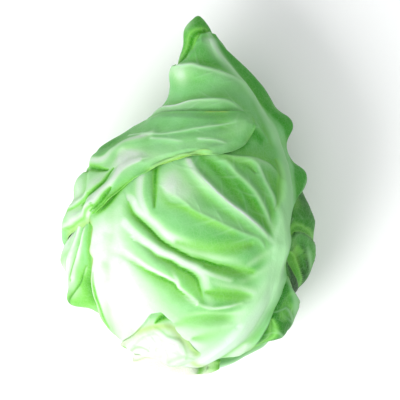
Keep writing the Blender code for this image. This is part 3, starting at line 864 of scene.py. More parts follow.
def leaf_finish(name, light, mid, deep):
    made = Finish(name)
    clouds = made.spread(made.cloud(CLOUD_MM, 3.0, 0.55), 0.35, 0.65)
    mottle = made.spread(made.cloud(MOTTLE_MM, 3.0, 0.6, 0.3), 0.3, 0.7)
    colour = made.blend(clouds, mid, light)
    colour = made.blend(made.maths("MULTIPLY", mottle, MOTTLE_SHARE), colour, light)
    # the deep tint, mostly painted shade
    colour = made.blend(made.tint("deep"), colour, deep)
    # the pale tint, partly painted light
    paling = made.maths("MULTIPLY", made.tint("pale"), made.spread(mottle, 0.0, 1.0, PALE_IN_MOTTLE, 1.0))
    colour = made.two_steps(colour, paling, LIME, CREAM)
    # painted shade in creases and pockets
    colour = made.two_steps(colour, made.tint("hollow"), POCKET_SHADE_GREEN, CREASE_SHADE_GREEN)
    small, large = (
        made.maths("MULTIPLY", made.net(size, line), strong) for size, line, strong in (SMALL_NET, LARGE_NET)
    )
    net = made.maths("MAXIMUM", small, large)
    veins = made.maths("MAXIMUM", made.tint("vein"), net)
    colour = made.two_steps(colour, veins, VEIN_MINT, RIB_WHITE, first_full=0.7, second_from=0.6)
    colour = made.blend(made.tint("edge"), colour, EDGE_YELLOW)
    grain = made.maths("MULTIPLY", made.cloud(GRAIN_MM, 2.0), GRAIN_BUMP)
    height = made.maths("ADD", grain, made.maths("MULTIPLY", net, NET_BUMP))
    height = made.maths("ADD", height, made.maths("MULTIPLY", mottle, MOTTLE_BUMP))
    roughness = made.spread(mottle, 0.0, 1.0, LEAST_ROUGH, MOST_ROUGH)
    made.surface(colour, roughness, height, LEAF_BUMP_MM, specular=SHINE)
    made.see_through(SEE_THROUGH, LIGHT_REACH, REACH_SCALE)
    return made.material


# each finish has its light and middle green, and the deep green that the deep tint paints, mostly as shade
FRESH = leaf_finish("fresh leaf", rgb(0.205, 0.52, 0.195), rgb(0.13, 0.43, 0.10), rgb(0.030, 0.28, 0.008))
SHADED = leaf_finish("shaded leaf", rgb(0.145, 0.36, 0.145), rgb(0.09, 0.30, 0.075), rgb(0.021, 0.195, 0.008))
OUTER = leaf_finish("outer leaf", rgb(0.075, 0.33, 0.040), rgb(0.030, 0.22, 0.012), rgb(0.004, 0.055, 0.001))
INNER = leaf_finish("inner leaf", rgb(0.32, 0.62, 0.22), rgb(0.20, 0.54, 0.11), rgb(0.045, 0.30, 0.018))
print("finishes:", ", ".join(finish.name for finish in (FRESH, SHADED, OUTER, INNER)))

# %% [markdown]
# ## The heart
# The heart is the tight ball of inner leaves. Only its point shows, as a small hood beyond the
# front leaf, painted dark green partly as shade, and slivers of it between the wrapper leaves. It
# is one closed skin round the whole form, with three leaf edges winding up it.

# %% A closed round skin
def closed_round(name, points, tints, poles):
    """A grid closed into a tube, with a point at each end."""
    rows, columns = points.shape[:2]
    grid = np.arange(rows * columns).reshape(rows, columns)
    ring = np.concatenate([grid, grid[:, :1]], axis=1)
    faces = quads(ring).tolist()
    first, last = rows * columns, rows * columns + 1
    faces += [(first, b, a) for a, b in zip(ring[0], ring[0][1:])]
    faces += [(last, a, b) for a, b in zip(ring[-1], ring[-1][1:])]
    faces = [tuple(int(k) for k in face) for face in faces]
    spread = np.vstack([points.reshape(-1, 3), *poles]) * MM
    values = {k: np.concatenate([v.ravel(), [v[0].mean(), v[-1].mean()]]) for k, v in tints.items()}
    return tinted_mesh(name, spread, faces, values)


HEART_GRID = (180, 260)
s, phi = np.meshgrid(
    np.linspace(0, 1, HEART_GRID[0])[1:-1],
    np.linspace(0, 2 * math.pi, HEART_GRID[1], endpoint=False),
    indexing="ij",
)
print("the heart has", s.size, "places and two poles")

# %% Heart
WRAPS, WRAP_STEP, WRAP_TWIST = 3, 1.6, 0.9
HOOD_FROM = 0.84  # where along the head the dark hood of its point begins
HEART_VEINS, DEGREES_APART = 7, 44
TIP_GROOVE = ((104.5, 30), (104, 10), (103, -12), (100.5, -29), (96, -38), (91, -48), (86, -64), (82, -80))
LEFT_SHADE = ((0, -56), (-16, -66), (-36, -68), (-50, -72), (-66, -76))

heart = VeinedSkin("heart", s, phi, 3)
turn = (phi * WRAPS / (2 * math.pi) + WRAP_TWIST * s) % 1.0
heart.off -= WRAP_STEP * turn**3 * np.sin(math.pi * s)
heart.tints["edge"] = 0.8 * np.clip(1 - turn / 0.03, 0, 1) * eased((HOOD_FROM - s) / 0.06)
heart.tints["pale"] = 0.6 * eased((0.75 - s) / 0.3)
# the darker green of the point, partly painted shade
heart.tints["deep"] = 0.9 * eased((s - HOOD_FROM) / 0.08)
heart.uneven(9.0, 0.25)
# painted shade in the groove along the tip of the front leaf, and low on the left side
heart.groove(TIP_GROOVE, 1.3, 2.6, 1.0, widths=(0.6, 0.8, 1, 1, 1, 0.9))
heart.lift(105, -84, 7, 26, 2.2)
heart.wash("pale", 108, -66, 4, 3.5, 0.35)
heart.stroke("hollow", LEFT_SHADE, 0.5, 8.0, 8.0, along=1)
for k in range(HEART_VEINS):
    around = DEGREES_APART * k
    heart.vein(((58, around), (80, around + 4), (96, around + 10)), (0.3, 0.2), (1.0, 0.5), (0.4, 0.2))
poles = [HEAD.point(np.float64(end), np.float64(0)) for end in (0, 1)]
shape = heart.points + heart.normals * (heart.off + heart.ridge)[..., None]
put_in_place("heart", closed_round("heart", shape, heart.tints, poles), INNER)
LAID.lay(*(refined(grid, 2) for grid in (heart.s, heart.phi, np.maximum(heart.off + heart.ridge, 0.0))))

# %% [markdown]
# ## The cut stem
# The stem is a short stump with a knife cut. Its side keeps the crescent scars of the leaves that
# were pulled off, and the cut face shows a pale pith with a ring of bundles. The stump is turned
# from a profile, and its radius and face are then modulated, because a lathe alone looks machined.

# %% Stem: rings up the side and over the cut face
STEM_X, STEM_Z, STEM_GAP = -7.5, 52.0, 0.4
STEM_RADIUS, STEM_OUT = 22.3, 12.8
STEM_TURNS, SIDE_STEPS, FACE_STEPS = 180, 26, 44


def stem_grid():
    """Share of the radius and distance out for each ring: up the side, then in over the cut face."""
    side = np.linspace(0, 1, SIDE_STEPS)
    corner = 1 - 0.045 * side**6
    face = np.linspace(0.93, 0.02, FACE_STEPS)
    share = np.concatenate([corner, face])
    out = np.concatenate([side * 0.96, np.linspace(0.985, 1.0, 3), np.ones(FACE_STEPS - 3)]) * STEM_OUT
    on_face = np.concatenate([np.zeros(SIDE_STEPS), np.ones(FACE_STEPS)])
    return share, out, on_face


share, out, on_face = stem_grid()
turn = np.linspace(0, 2 * math.pi, STEM_TURNS, endpoint=False)
share, turn = np.meshgrid(share, turn, indexing="ij")
out, on_face = out[:, None] + 0 * turn, on_face[:, None] + 0 * turn
on_side = 1 - on_face
spot = np.stack([30 * share * np.sin(turn), out, 30 * share * np.cos(turn)], axis=-1)
print("the stem has", len(share), "rings of", STEM_TURNS, "points")

# %% Stem: lobes, scars, leaf bases and bundles
LOBES, SMALL_LOBES, SPOKES = 5, 9, 34
LEFT_BASE, RIGHT_BASE, SLIT, GREEN_SIDE = 4.85, 1.3, 1.12, 0.88  # in radians round the stem

lobe = 0.05 * np.cos(LOBES * (turn - 0.4)) + 0.02 * np.cos(SMALL_LOBES * turn + 1.1)
lobe = lobe + 0.02 * ripple(spot, 9.0, 5)
scar = bell(out - 3.0 - 1.5 * np.cos(LOBES * turn), 1.1) * on_side
left_base = bell(turn - LEFT_BASE, 0.5) * on_side
fading_out = np.interp(out, (0, 6, 9.5, 12.8), (0.9, 1.0, 1.0, 0.15))
right_base = bell(turn - RIGHT_BASE, 0.26) * on_side * fading_out
slit = bell(turn - SLIT, 0.035) * on_side * eased((out - 6.0) / 2.0)
bundles = bell(share - 0.66 - 0.3 * lobe, 0.05) * on_face
spokes = 0.5 + 0.5 * np.cos(SPOKES * turn + 6 * ripple(spot, 6.0, 8))

radius = STEM_RADIUS * share * (1 + lobe * np.clip(share * 1.4, 0, 1) * 0.8) + 0.9 * scar
radius = radius + 4.6 * left_base * share + 7.5 * right_base - 2.4 * slit
face_relief = on_face * (0.35 * ripple(spot, 4.0, 6) - 0.5 * bell(share, 0.4) + 0.3 * bundles * spokes)
x = STEM_X + radius * np.sin(turn)
y = BASE_Y - STEM_GAP - out - face_relief + 0.25 * on_side * ripple(spot, 3.0, 9)
z = STEM_Z + radius * np.cos(turn)
stem_points = np.stack([x, y, z], axis=-1)
stem_tints = {
    "bundle": bundles * (0.45 + 0.55 * spokes),
    "rim": bell(share - 0.96, 0.03) * on_face,
    "scar": scar,
    "green": np.maximum(on_side * bell(turn - GREEN_SIDE, 0.2) * eased((out - 2.0) / 4.0), right_base),
    "pale": on_side,
}
middle = np.array([STEM_X, y[-1].mean(), STEM_Z])
back = np.array([STEM_X, BASE_Y - STEM_GAP, STEM_Z])
print("the stump is up to", round(2 * float(radius.max())), "mm wide with its leaf bases")

# %% Stem finish
PITH, LIGHT_PITH, FIBRE = rgb(0.66, 0.70, 0.50), rgb(0.74, 0.77, 0.60), rgb(0.58, 0.62, 0.38)
STEM_SIDE, BUNDLE = rgb(0.70, 0.76, 0.62), rgb(0.50, 0.62, 0.30)
RIM_BROWN, SCAR_GREEN, BASE_GREEN = rgb(0.46, 0.40, 0.20), rgb(0.55, 0.60, 0.36), rgb(0.17, 0.50, 0.06)
STEM_CLOUD_MM, STEM_GRAIN_MM, FIBRE_MM = 9.0, 1.1, 1.6
STEM_BUMP_MM = 0.3


def stem_finish():
    made = Finish("cut stem")
    clouds = made.spread(made.cloud(STEM_CLOUD_MM, 3.0), 0.3, 0.7)
    grain = made.cloud(STEM_GRAIN_MM, 3.0, 0.7)
    fibres = made.spread(made.net(FIBRE_MM, 0.12), 0.0, 1.0, 0.0, 0.35)
    colour = made.blend(clouds, PITH, LIGHT_PITH)
    colour = made.blend(fibres, colour, FIBRE)
    colour = made.blend(made.tint("pale"), colour, STEM_SIDE)
    colour = made.blend(made.tint("bundle"), colour, BUNDLE)
    colour = made.blend(made.maths("MULTIPLY", made.tint("rim"), 0.7), colour, RIM_BROWN)
    colour = made.blend(made.maths("MULTIPLY", made.tint("scar"), 0.6), colour, SCAR_GREEN)
    colour = made.blend(made.tint("green"), colour, BASE_GREEN)
    height = made.maths("ADD", made.maths("MULTIPLY", grain, 0.8), made.maths("MULTIPLY", fibres, 1.5))
    made.surface(colour, made.spread(grain, 0.3, 0.7, 0.5, 0.68), height, STEM_BUMP_MM, 0.4)
    made.see_through(0.1, (1.0, 1.0, 0.5), 0.002)
    return made.material


# the rings run away from the head, so their order is turned round to face outwards
stem_mesh = closed_round(
    "stem", stem_points[:, ::-1], {k: v[:, ::-1] for k, v in stem_tints.items()}, (back, middle)
)
put_in_place("stem", stem_mesh, stem_finish())

# %% [markdown]
# ## The leaf under the right side
# This outer leaf is older, darker and smoother than the rest. It wraps the right flank, and the
# photograph shows a strip of it with one fine vein, a dark gap, and a yellowish curl where its
# blade folds back on itself. Midrib and veins come first, then the lifts that give it its belly.

# %% Right leaf
right_leaf = Leaf(
    "right_leaf",
    rib=((-101, 122), (-80, 116), (-40, 112), (0, 110), (40, 113), (75, 120), (97, 126)),
    left=((-101, 96), (-90, 68), (-60, 52), (-20, 50), (15, 56), (50, 66), (80, 80), (97, 100)),
    right=((-101, 142), (-88, 144), (-50, 143), (0, 142), (40, 142), (75, 146), (97, 148)),
    steps=(240, 90, 40), seed=11,
)
right_leaf.midrib((4.0, 2.0, 0.8), (8.0, 5.0, 2.0), (1.0, 0.6, 0.4))
right_leaf.lift(-20, 84, 24, 20, 7.0)
right_leaf.lift(-48, 86, 15, 14, 6.5)
RIGHT_VEINS = (
    ((-66, 117), (-50, 104), (-38, 88), (-32, 66)),
    ((-44, 113), (-28, 102), (-19, 88), (-16, 70), (-16, 56)),
    ((-16, 111), (0, 100), (10, 84), (13, 66)),
    ((12, 110), (26, 100), (36, 86), (38, 72)),
    ((40, 113), (52, 106), (60, 94), (62, 82)),
    ((-50, 114), (-30, 124), (-20, 138)),
    ((-10, 111), (10, 122), (20, 136)),
    ((30, 113), (48, 124), (56, 138)),
)
right_leaf.side_veins(RIGHT_VEINS, 1.2, 4.5, (0.5, 0.2), (1.0, 0.5), (0.25, 0.1))
print("the right leaf has", len(RIGHT_VEINS), "side veins")

# %% Right leaf: the curl, the dark gap and washes of colour and painted shade
CURL = ((-29, 56), (-27, 60), (-24.5, 64), (-25, 69), (-28, 76), (-33, 88))
right_leaf.fold(CURL, 2.4, 1.0, 7.0, along=(1, 1, 1, 0.8, 0.5), glow=0.1)
right_leaf.groove(((-36, 58), (-42, 66), (-50, 76), (-58, 88)), 3.2, 2.6, 0.0)
# deep strokes paint shade in the dark gap and round the curl, the pale one a highlight on the curl
RIGHT_STROKES = (
    ("deep", ((-26, 55), (-24, 60), (-22, 65), (-23, 71), (-27, 80), (-32, 92)), 1.0, 2.0, 2.4, 1),
    ("edge", ((-29, 61), (-36, 66), (-45, 73)), 0.15, 2.0, 2.6),
    ("deep", ((-30, 68), (-38, 75), (-48, 82)), 0.7, 1.6, 1.6),
    ("pale", ((-33, 74), (-40, 80), (-47, 84)), 0.3, 1.6, 1.6),
    ("deep", ((-36, 55), (-44, 64), (-52, 74), (-60, 86), (-66, 94)), 1.0, 6.0, 3.5, 1),
    ("deep", ((6, 68), (-8, 62), (-26, 58)), 0.8, 2.5, 3.0),
)
right_leaf.strokes(RIGHT_STROKES)
# the deep washes are painted shade
RIGHT_WASHES = (
    ("deep", -2, 76, 14, 16, 0.6),
    ("deep", -54, 74, 10, 10, 1.0),
    ("vein", -42, 76, 16, 16, -1.0),
    ("pale", -100, 120, 26, 60, 0.7),
)
right_leaf.washes(RIGHT_WASHES)
right_leaf.uneven(26.0, 0.8)
right_leaf.uneven(8.0, 0.25)
right_leaf.lay(0.5, OUTER, "outer_green", edge=(1.2, 0.3, 0.3, 0.3))

# %% [markdown]
# ## The short leaf at the lower right
# A torn outer leaf that stands off the head, with a jagged, wavy margin. The waves of a margin
# like this come from the edge growing faster than the middle, so they die out inwards. The leaf
# lies in the shade of the head, so it gets a darker version of the fresh finish.

# %% Lower right leaf
lower_right = Leaf(
    "lower_right_leaf",
    rib=((-101, 122), (-90, 112), (-79, 98), (-68, 82), (-58, 68), (-50, 58)),
    left=((-101, 62), (-93, 60), (-85, 57), (-75, 55), (-64, 54), (-56, 53), (-50, 56)),
    right=((-101, 142), (-90, 144), (-78, 134), (-71, 112), (-67.5, 94), (-63, 80), (-57, 68), (-50, 60)),
    steps=(140, 60, 70), seed=12, rag=1.2,
)
lower_right.midrib((3.6, 1.8, 0.6), (7.0, 4.0, 1.4), (1.0, 0.5, 0.2))
lower_right.lift(-66, 92, 9, 14, 3.0)
lower_right.lift(-80, 86, 10, 14, 8.0)
LOWER_RIGHT_VEINS = (
    ((-92, 115), (-86, 98), (-82, 82), (-80, 66)),
    ((-82, 104), (-76, 90), (-70, 76), (-68, 66)),
    ((-70, 92), (-64, 80), (-60, 68)),
    ((-88, 111), (-80, 122), (-76, 132)),
    ((-74, 96), (-68, 104), (-64, 106)),
)
lower_right.side_veins(LOWER_RIGHT_VEINS, 1.2, 4.0, (0.6, 0.2), (1.3, 0.6), (0.5, 0.25))
lower_right.off *= 0.3 + 0.7 * eased(lower_right.from_left / 9.0)
lower_right.frill("right", 1.6, 6.4, 0.0, reach=4.0)
lower_right.uneven(14.0, 0.8)
print("the lower right leaf has", len(LOWER_RIGHT_VEINS), "side veins")

# %% Lower right leaf: shade and creases
# the groove, the deep strokes and washes and the dark creases are painted shade
lower_right.groove(((-77, 64), (-84, 74), (-90, 80)), 1.2, 2.2, 0.7)
lower_right.stroke("deep", ((-42, 60), (-50, 58), (-58, 60), (-64, 62)), 0.7, 6.0, 8.0)
lower_right.stroke("deep", ((-58, 88), (-68, 94), (-74, 96)), 0.5, 4.0, 4.0)
lower_right.wash("deep", -62, 78, 22, 40, 0.9)
lower_right.wash("deep", -78, 80, 40, 60, 0.9)
DARK_CREASES = (
    ((-90, 62), (-92, 74), (-92, 88)),
    ((-84, 60), (-87, 70), (-88, 84)),
    ((-62, 62), (-60, 68), (-60, 74)),
)
for line in DARK_CREASES:
    lower_right.stroke("deep", line, 0.8, 1.4, 1.4)
lower_right.stroke("pale", ((-51, 62), (-57, 69), (-63, 80), (-67, 93), (-71, 110)), 0.3, 1.4, 1.4)
lower_right.lay(0.3, SHADED, "outer_green", edge=(0.9, 0.0, 0.25, 0.1))

# %% [markdown]
# ## The flared leaf at the lower left
# A small outer leaf that has come loose and stands away from the head, with a lobe at its foot.
# It is laid before the front leaf and the shoulder leaf, so that their thin edges lie on it. It
# swells only away from those edges, or the leaves on top would be pushed off the head with it.

# %% Left leaf
left_leaf = Leaf(
    "left_leaf",
    rib=((-101, -140), (-85, -132), (-66, -114), (-45, -98), (-30, -84), (-14, -72), (-2, -62)),
    left=((-101, -158), (-85, -152), (-65, -142), (-45, -130), (-29, -112), (-12, -92), (0, -70)),
    right=((-101, -100), (-88, -92), (-81, -84), (-74, -74), (-66, -64), (-54, -58), (-41, -52),
           (-26, -48), (-14, -48), (-4, -54)),
    steps=(180, 60, 90), seed=7, rag=0.6, settle=12.0,
)
left_leaf.midrib((3.0, 1.6, 0.4), (7.0, 4.0, 2.0), (1.0, 0.4, 0.1))
for place in ((-50, -92, 20, 18, 10.5), (-62, -96, 7, 15, 10.0), (-31, -98, 9, 16, 3.0)):
    left_leaf.lift(*place)
LEFT_VEINS = (
    ((-80, -128), (-76, -112), (-73, -98), (-71, -88)),
    ((-66, -115), (-58, -102), (-52, -92), (-48, -80)),
    ((-52, -106), (-42, -94), (-36, -82), (-32, -72)),
    ((-74, -124), (-62, -134), (-54, -138)),
    ((-40, -96), (-30, -102), (-24, -100)),
)
left_leaf.side_veins(LEFT_VEINS, 1.3, 4.0, (0.6, 0.2), (1.4, 0.6), (0.5, 0.3), spacing=6.0, length=(6, 14))
# the edge of the front leaf will lie here, so the blade stays low beside it
FRONT_EDGE_Y, FRONT_EDGE_DEGREES = (-84, -74, -66, -54, -35, -15), (-92, -81, -73, -67, -61, -62)
beside_front = np.interp(left_leaf.points[..., 1], FRONT_EDGE_Y, FRONT_EDGE_DEGREES)
left_leaf.off *= eased((np.radians(beside_front) - left_leaf.phi) / math.radians(14))
print("the left leaf has", len(LEFT_VEINS), "side veins")

# %% Left leaf: the crease beside the front leaf, crumples and margins
BESIDE_CREASE = ((-14, -66), (-20, -62), (-28, -63), (-36, -64), (-44, -66), (-52, -70),
                 (-60, -74), (-68, -78))
# painted shade in the crease beside the front leaf
left_leaf.groove(BESIDE_CREASE, 1.0, 2.6, 0.6, widths=(0.7, 1, 1, 1, 1, 1))
CRUMPLES = (
    ((-22, -68), (-30, -70), (-40, -76), (-50, -84)),
    ((-20, -74), (-30, -78), (-40, -84), (-48, -92)),
    ((-26, -86), (-34, -90), (-42, -98)),
    ((-46, -70), (-54, -76), (-60, -84), (-64, -92)),
)
# crumples: a painted highlight on their tops and painted shade in their creases
for line in CRUMPLES:
    left_leaf.fold(line, 1.6, 2.6, 1.4, crease=0.45, reach=1.6, glow=0.9)
left_leaf.uneven(14.0, 0.6)
left_leaf.uneven(5.0, 0.3)
# the pale washes are the leaf's own pale and painted light, the other two painted shade
LEFT_WASHES = (
    ("pale", -46, -94, 20, 18, 1.0),
    ("pale", -24, -84, 14, 12, 0.8),
    ("pale", -90, -120, 20, 30, 0.8),
    ("hollow", -64, -90, 9, 13, 0.6),
    ("hollow", -52, -76, 9, 5, 0.45),
)
left_leaf.washes(LEFT_WASHES)
BESIDE_SHADE = ((-14, -64), (-24, -62), (-34, -64), (-44, -66), (-54, -70), (-62, -76))
# painted shade along the edge of the front leaf and in two creases
LEFT_STROKES = (
    ("hollow", BESIDE_SHADE, 0.5, 2.6, 3.0, (0.6, 1, 1, 1, 0.8)),
    ("hollow", ((-34, -82), (-40, -92), (-44, -100)), 0.35, 2.6, 2.6),
    ("hollow", ((-20, -84), (-26, -92), (-30, -100)), 0.3, 2.0, 2.0),
)
left_leaf.strokes(LEFT_STROKES)
left_leaf.lay(0.4, FRESH, "leaf_green", edge=(1.0, 0.2, 0.0, 0.0), hollow=(4, 0.8, 0.4))

# %% [markdown]
# ## The big front leaf
# The face of the cabbage. Its bare midrib climbs the right side, thick and almost white at the
# base, and side veins fan out to the left. Between the lower ones the blade sinks into three deep
# valleys. A fold could be modelled as a raised ridge, but in raking light from the left it is the
# valley that draws the line: its far slope is bright and its near slope lies in green shade. The
# lines were read by eye from the photograph, and a small program turned many of them into
# millimetres along the head and degrees round it.

# %% Front leaf: outline and midrib
front = Leaf(
    "front_leaf",
    rib=((-101, 24), (-91, 31), (-82, 37), (-67, 42), (-55, 45), (-41, 47), (-25, 49), (-12, 52),
         (1, 57), (13, 61), (25, 65), (36, 63), (46, 58), (55, 53), (64, 48), (73, 45), (81, 40),
         (89, 35), (96, 34), (103, 38)),
    left=((-101, -12), (-97, -40), (-93, -68), (-87, -92), (-80, -87), (-74, -80), (-66.5, -71.5),
          (-60, -68.5), (-54, -66), (-47, -62.5), (-39, -58), (-35, -60), (-28, -58.5), (-20, -57),
          (-15.8, -61), (-9, -60), (5, -66), (35, -92), (60, -114), (76, -112), (83, -86), (82.5, -66),
          (84.5, -50), (88, -37), (91.5, -27), (95.5, -17), (99, -6), (102, 8)),
    right=((-101, 76), (-97, 82), (-93, 74), (-88, 65), (-79, 60), (-64, 57), (-50, 56), (-33, 56), (-17, 58),
           (-6, 64), (4, 84), (12, 92), (28, 92), (42, 97), (60, 101), (82, 108), (94, 98), (101, 82),
           (102, 66)),
    steps=(289, 188, 60), fan=(0.55, 1.0), seed=4, rag=0.5,
)
front.midrib((6.0, 4.5, 2.6, 1.6, 0.8), (13.0, 8.8, 4.6, 2.8, 1.6), (0.9, 0.64, 0.38, 0.42, 0.5))
RIB_LINES = (  # pale lines on the rib
    ((-90, 39), (-78, 40), (-64, 42), (-46, 44), (-28, 45), (-12, 50), (2, 55)),
    ((97, 28), (89, 34), (77, 44), (64, 49), (53, 55), (42, 60), (30, 63)),
)
for line in RIB_LINES:
    front.vein(line, (0.3, 0.2), (2.6, 1.6), (0.75, 0.55, 0.5))
print("the midrib of the front leaf is", round(length_of(front.rib)), "mm long")

# %% Front leaf: the upper side veins, raised and pale
# glow paints a highlight on the top of each fold
UPPER_VEINS = (  # line, fold height, how wide it is below and above, tint of the vein, glow
    (((60, 50), (67, 45), (71, 35), (74, 20), (77, 5), (79, -8), (81, -20), (81, -38), (81, -59), (78, -82)),
     2.2, 6.0, 2.6, (0.4, 0.6, 0.9), (0.1, 0.2, 0.5)),
    (((34, 54), (42, 44), (47, 34), (53, 24), (56, 15), (57, 4), (57, -11), (56, -27), (53, -43), (52, -67),
      (48, -88)), 2.6, 6.5, 2.8, (0.05, 0.3, 1.0, 1.0), (0, 0.1, 0.5, 0.6)),
    (((-31, 45), (-25, 40), (-19, 34), (-12, 26.5), (-7, 20.5), (-1.5, 15), (5, 9), (12, 2.5), (20, -4)),
     2.6, 4.0, 3.0, (0.5, 1.0, 1.0, 1.0), (0.2, 0.6, 0.9)),
    (((-24, 45), (-14, 42), (-7, 39), (1, 35), (7, 30), (12, 25), (17, 21), (22, 16)),
     1.2, 3.0, 3.2, (0.3, 0.3, 0.2), 0.3),
    (((-22, 49), (-4, 47), (2, 45), (7, 43), (14, 41), (18, 38), (21, 33)),
     1.5, 2.6, 3.0, (0.3, 0.45, 0.6), 0.15),
    (((-36, 42), (-28, 36), (-24, 27), (-20, 19), (-16, 12), (-13, 7), (-10, 2), (-5, -3), (-1, -8),
      (2, -13)), 1.3, 2.6, 7.0, (0.2, 0.1, 0.0), (0.1, 0.25, 0.25)),
    (((48, -20), (46, -32), (44, -46), (43, -64)), 0.6, 2.4, 3.0, (0.3, 0.3), 0.0),
)
for line, height, low_side, high_side, tint, glow in UPPER_VEINS:
    front.fold(line, height, low_side, high_side, along=(0.2, 0.7, 1, 1, 0.9, 0.4), glow=glow)
    front.vein(line, (0.8, 0.5, 0.3), (1.6, 1.1, 0.8), tint)
    front.branches(line)
# painted shade in a strip of the blade
front.stroke("hollow", ((-24, 22), (-19, 14), (-14, 5), (-8, -4), (-6, -11), (2, -17)), 0.5, 3.0, 1.5)
print("the front leaf has", len(UPPER_VEINS), "raised side veins")

# %% Front leaf: the deep valleys
# dark, reach and core paint the shade of each pocket, glow the highlight on the far slope
VALLEYS = (  # line from the rib outwards, depth, left and right width, along, dark, reach, core, glow
    (((-53, 35), (-49, 29), (-45, 21), (-43.5, 14), (-41, 7), (-39, 1), (-36, -4), (-32, -10), (-28, -15),
      (-22, -20), (-16, -26), (-12, -30), (-7, -33)),
     4.2, (5, 4, 3.2, 2.4, 2.2, 2.0, 2.0, 2.4), (5, 7, 8, 8, 7, 6), (0.1, 0.6, 1, 1, 1, 1, 0.8, 0.3),
     (0.2, 0.8, 1, 1, 1, 1, 1, 0.7), (5, 4.5, 3.5, 2.6, 2.2, 2.2, 2.6, 3.4),
     (1.0, 2.4, 2.2, 1.2, 0.9, 0.9, 1.4, 1.6), (0, 0.4, 0.8, 1, 1, 1, 1)),
    (((-67, 8), (-62, 6.5), (-57, 5), (-52, 3.5), (-48, 0), (-45, -5), (-41, -10), (-38, -16), (-34, -20),
      (-29, -27)),
     3.8, (8, 9, 9, 7, 4, 2.2, 1.6, 1.2), (6, 7, 6, 5, 4), (0.2, 0.8, 1, 1, 1, 0.7, 0.4, 0.1),
     (0.2, 0.8, 1, 1, 0.9, 0.7, 0.4, 0.1), (4, 8, 8, 7, 4, 2.4, 1.6, 1), (0.6, 1.0, 1.6, 1.6, 1.2, 0.8, 0.5),
     (0.3, 0.7, 1, 1, 1, 1)),
    (((-66, 2), (-62, -3), (-58, -7), (-55, -8.5), (-52.5, -12), (-49, -18), (-46, -23), (-42, -29),
      (-38, -36), (-37, -43)),
     2.8, (5, 7, 7, 6, 4, 2.4, 1.5, 1.0), (2.6, 2.6, 3, 3.5, 4), (0.3, 0.9, 1, 1, 0.8, 0.5, 0.25, 0.05),
     (0.2, 0.7, 0.9, 0.9, 0.7, 0.5, 0.3, 0.1), (3, 6, 6, 5, 3.4, 2.2, 1.4, 1), (0.5, 0.8, 1.4, 1.2, 0.8, 0.5),
     (1, 1, 1, 1, 1)),
)
front.lift(-40, -8, 34, 44, 3.0)
for row in VALLEYS:
    front.valley(*row)
END_OF_VALLEY = ((-66, 30), (-68, 22), (-69, 14), (-68, 8), (-65, 2))
front.fold(END_OF_VALLEY, 1.8, 5.0, 2.2, along=(0.4, 1, 1, 0.8, 0.4))
# the pale strokes are painted highlights on the crests, the other one painted shade
VALLEY_STROKES = (
    ("pale", END_OF_VALLEY, 0.8, 1.1, 0.9),
    ("hollow", ((-61, 30), (-63, 20), (-62, 12), (-60, 7)), 0.26, 3.0, 4.0),
    ("pale", ((-60, 36), (-58, 27), (-56, 18), (-53, 10), (-49, 5)), 0.6, 2.0, 3.0, (1, 1, 0.9, 0.6, 0.3)),
    ("pale", ((-67, 3), (-62, -3), (-57, -6), (-52, -7), (-46, -9)), 0.9, 1.2, 1.4),
)
front.strokes(VALLEY_STROKES)
print("the deepest valley sinks by", max(row[1] for row in VALLEYS), "mm")

# %% [markdown]
# ## Small relief of the front leaf
# Under the tongue the blade has a raised lip and a crease that runs straight up. Between the side
# veins it sinks in shallow troughs. They are too small to be folds of their own, so each is one
# groove, and a stroke of shade or of pale green goes where the light needs help.

# %% Front leaf: the lip and the crease beside the tongue
LIP = ((24, 8), (24, 13), (22.5, 24), (21.5, 34), (20, 43), (17, 51), (10, 55))
STRAIGHT_CREASE = ((-8, -18.5), (-3, -19), (2, -20), (10, -22), (20, -25))
# the lip gets a painted highlight and the straight crease painted shade
front.fold(LIP, 2.4, 1.3, 5.0, along=(0.3, 0.9, 1, 1, 0.7, 0.3), glow=(0.3, 0.4, 0.4, 0.2))
front.valley(STRAIGHT_CREASE, 2.4, (1.4, 2.0, 2.4, 2.6), (3, 4, 4, 4), along=(0.1, 0.6, 1, 1, 1),
             dark=(0.1, 0.7, 1, 1, 1), reach=(1.6, 2.2, 3.0, 3.6), core=(0.8, 1.1, 1.4, 1.8))
CREASE_BOTTOM = ((-8, -18.5), (-1, -19.5), (6, -21), (14, -23.5), (21, -25.5))
# the tint of each groove is painted shade
FRONT_GROOVES = (  # line, depth, half width, tint, and how the width runs along
    (CREASE_BOTTOM, 1.2, 1.6, 0.75, (0.4, 0.8, 0.9, 1.2, 2.0)),
    (((23, 15), (20, 24), (19, 30), (17, 35), (12, 38)), 0.8, 2.6, 0.3, (0.8, 1, 1, 0.7, 0.1)),
    (((22, 5), (19, 10), (13, 15), (5, 21), (-4, 27)), 0.7, 3.0, 0.2, (1, 1, 1, 0.9, 0.6)),
    (((-18, 41), (-9, 36), (0, 30), (8, 25), (15, 20)), 0.7, 3.4, 0.1),
    (((20, 58), (13, 57), (4, 53), (-3, 51), (-10, 47)), 1.0, 1.6, 0.6),
    (((-30, -6), (-33, 4), (-34, 12), (-33, 22), (-31, 32)), 0.9, 4.0, 0.45),
    (((-48, 34), (-47, 22), (-46, 16), (-44, 8)), 0.8, 3.0, 0.55),
    (((-62, 34), (-62, 26), (-61, 17), (-60, 9)), 0.8, 3.4, 0.6),
    (((-79, 32), (-76, 24), (-75, 13), (-77, 0), (-80, -10)), 0.7, 4.6, 0.3, (0.4, 0.9, 1, 0.9, 0.3)),
    (((-80, 31), (-84, 24), (-87, 15), (-88.5, 5)), 1.2, 3.4, 0.42, (0.4, 1, 1, 0.4)),
)
for row in FRONT_GROOVES:
    front.groove(*row)
print("the front leaf has", len(FRONT_GROOVES), "grooves")

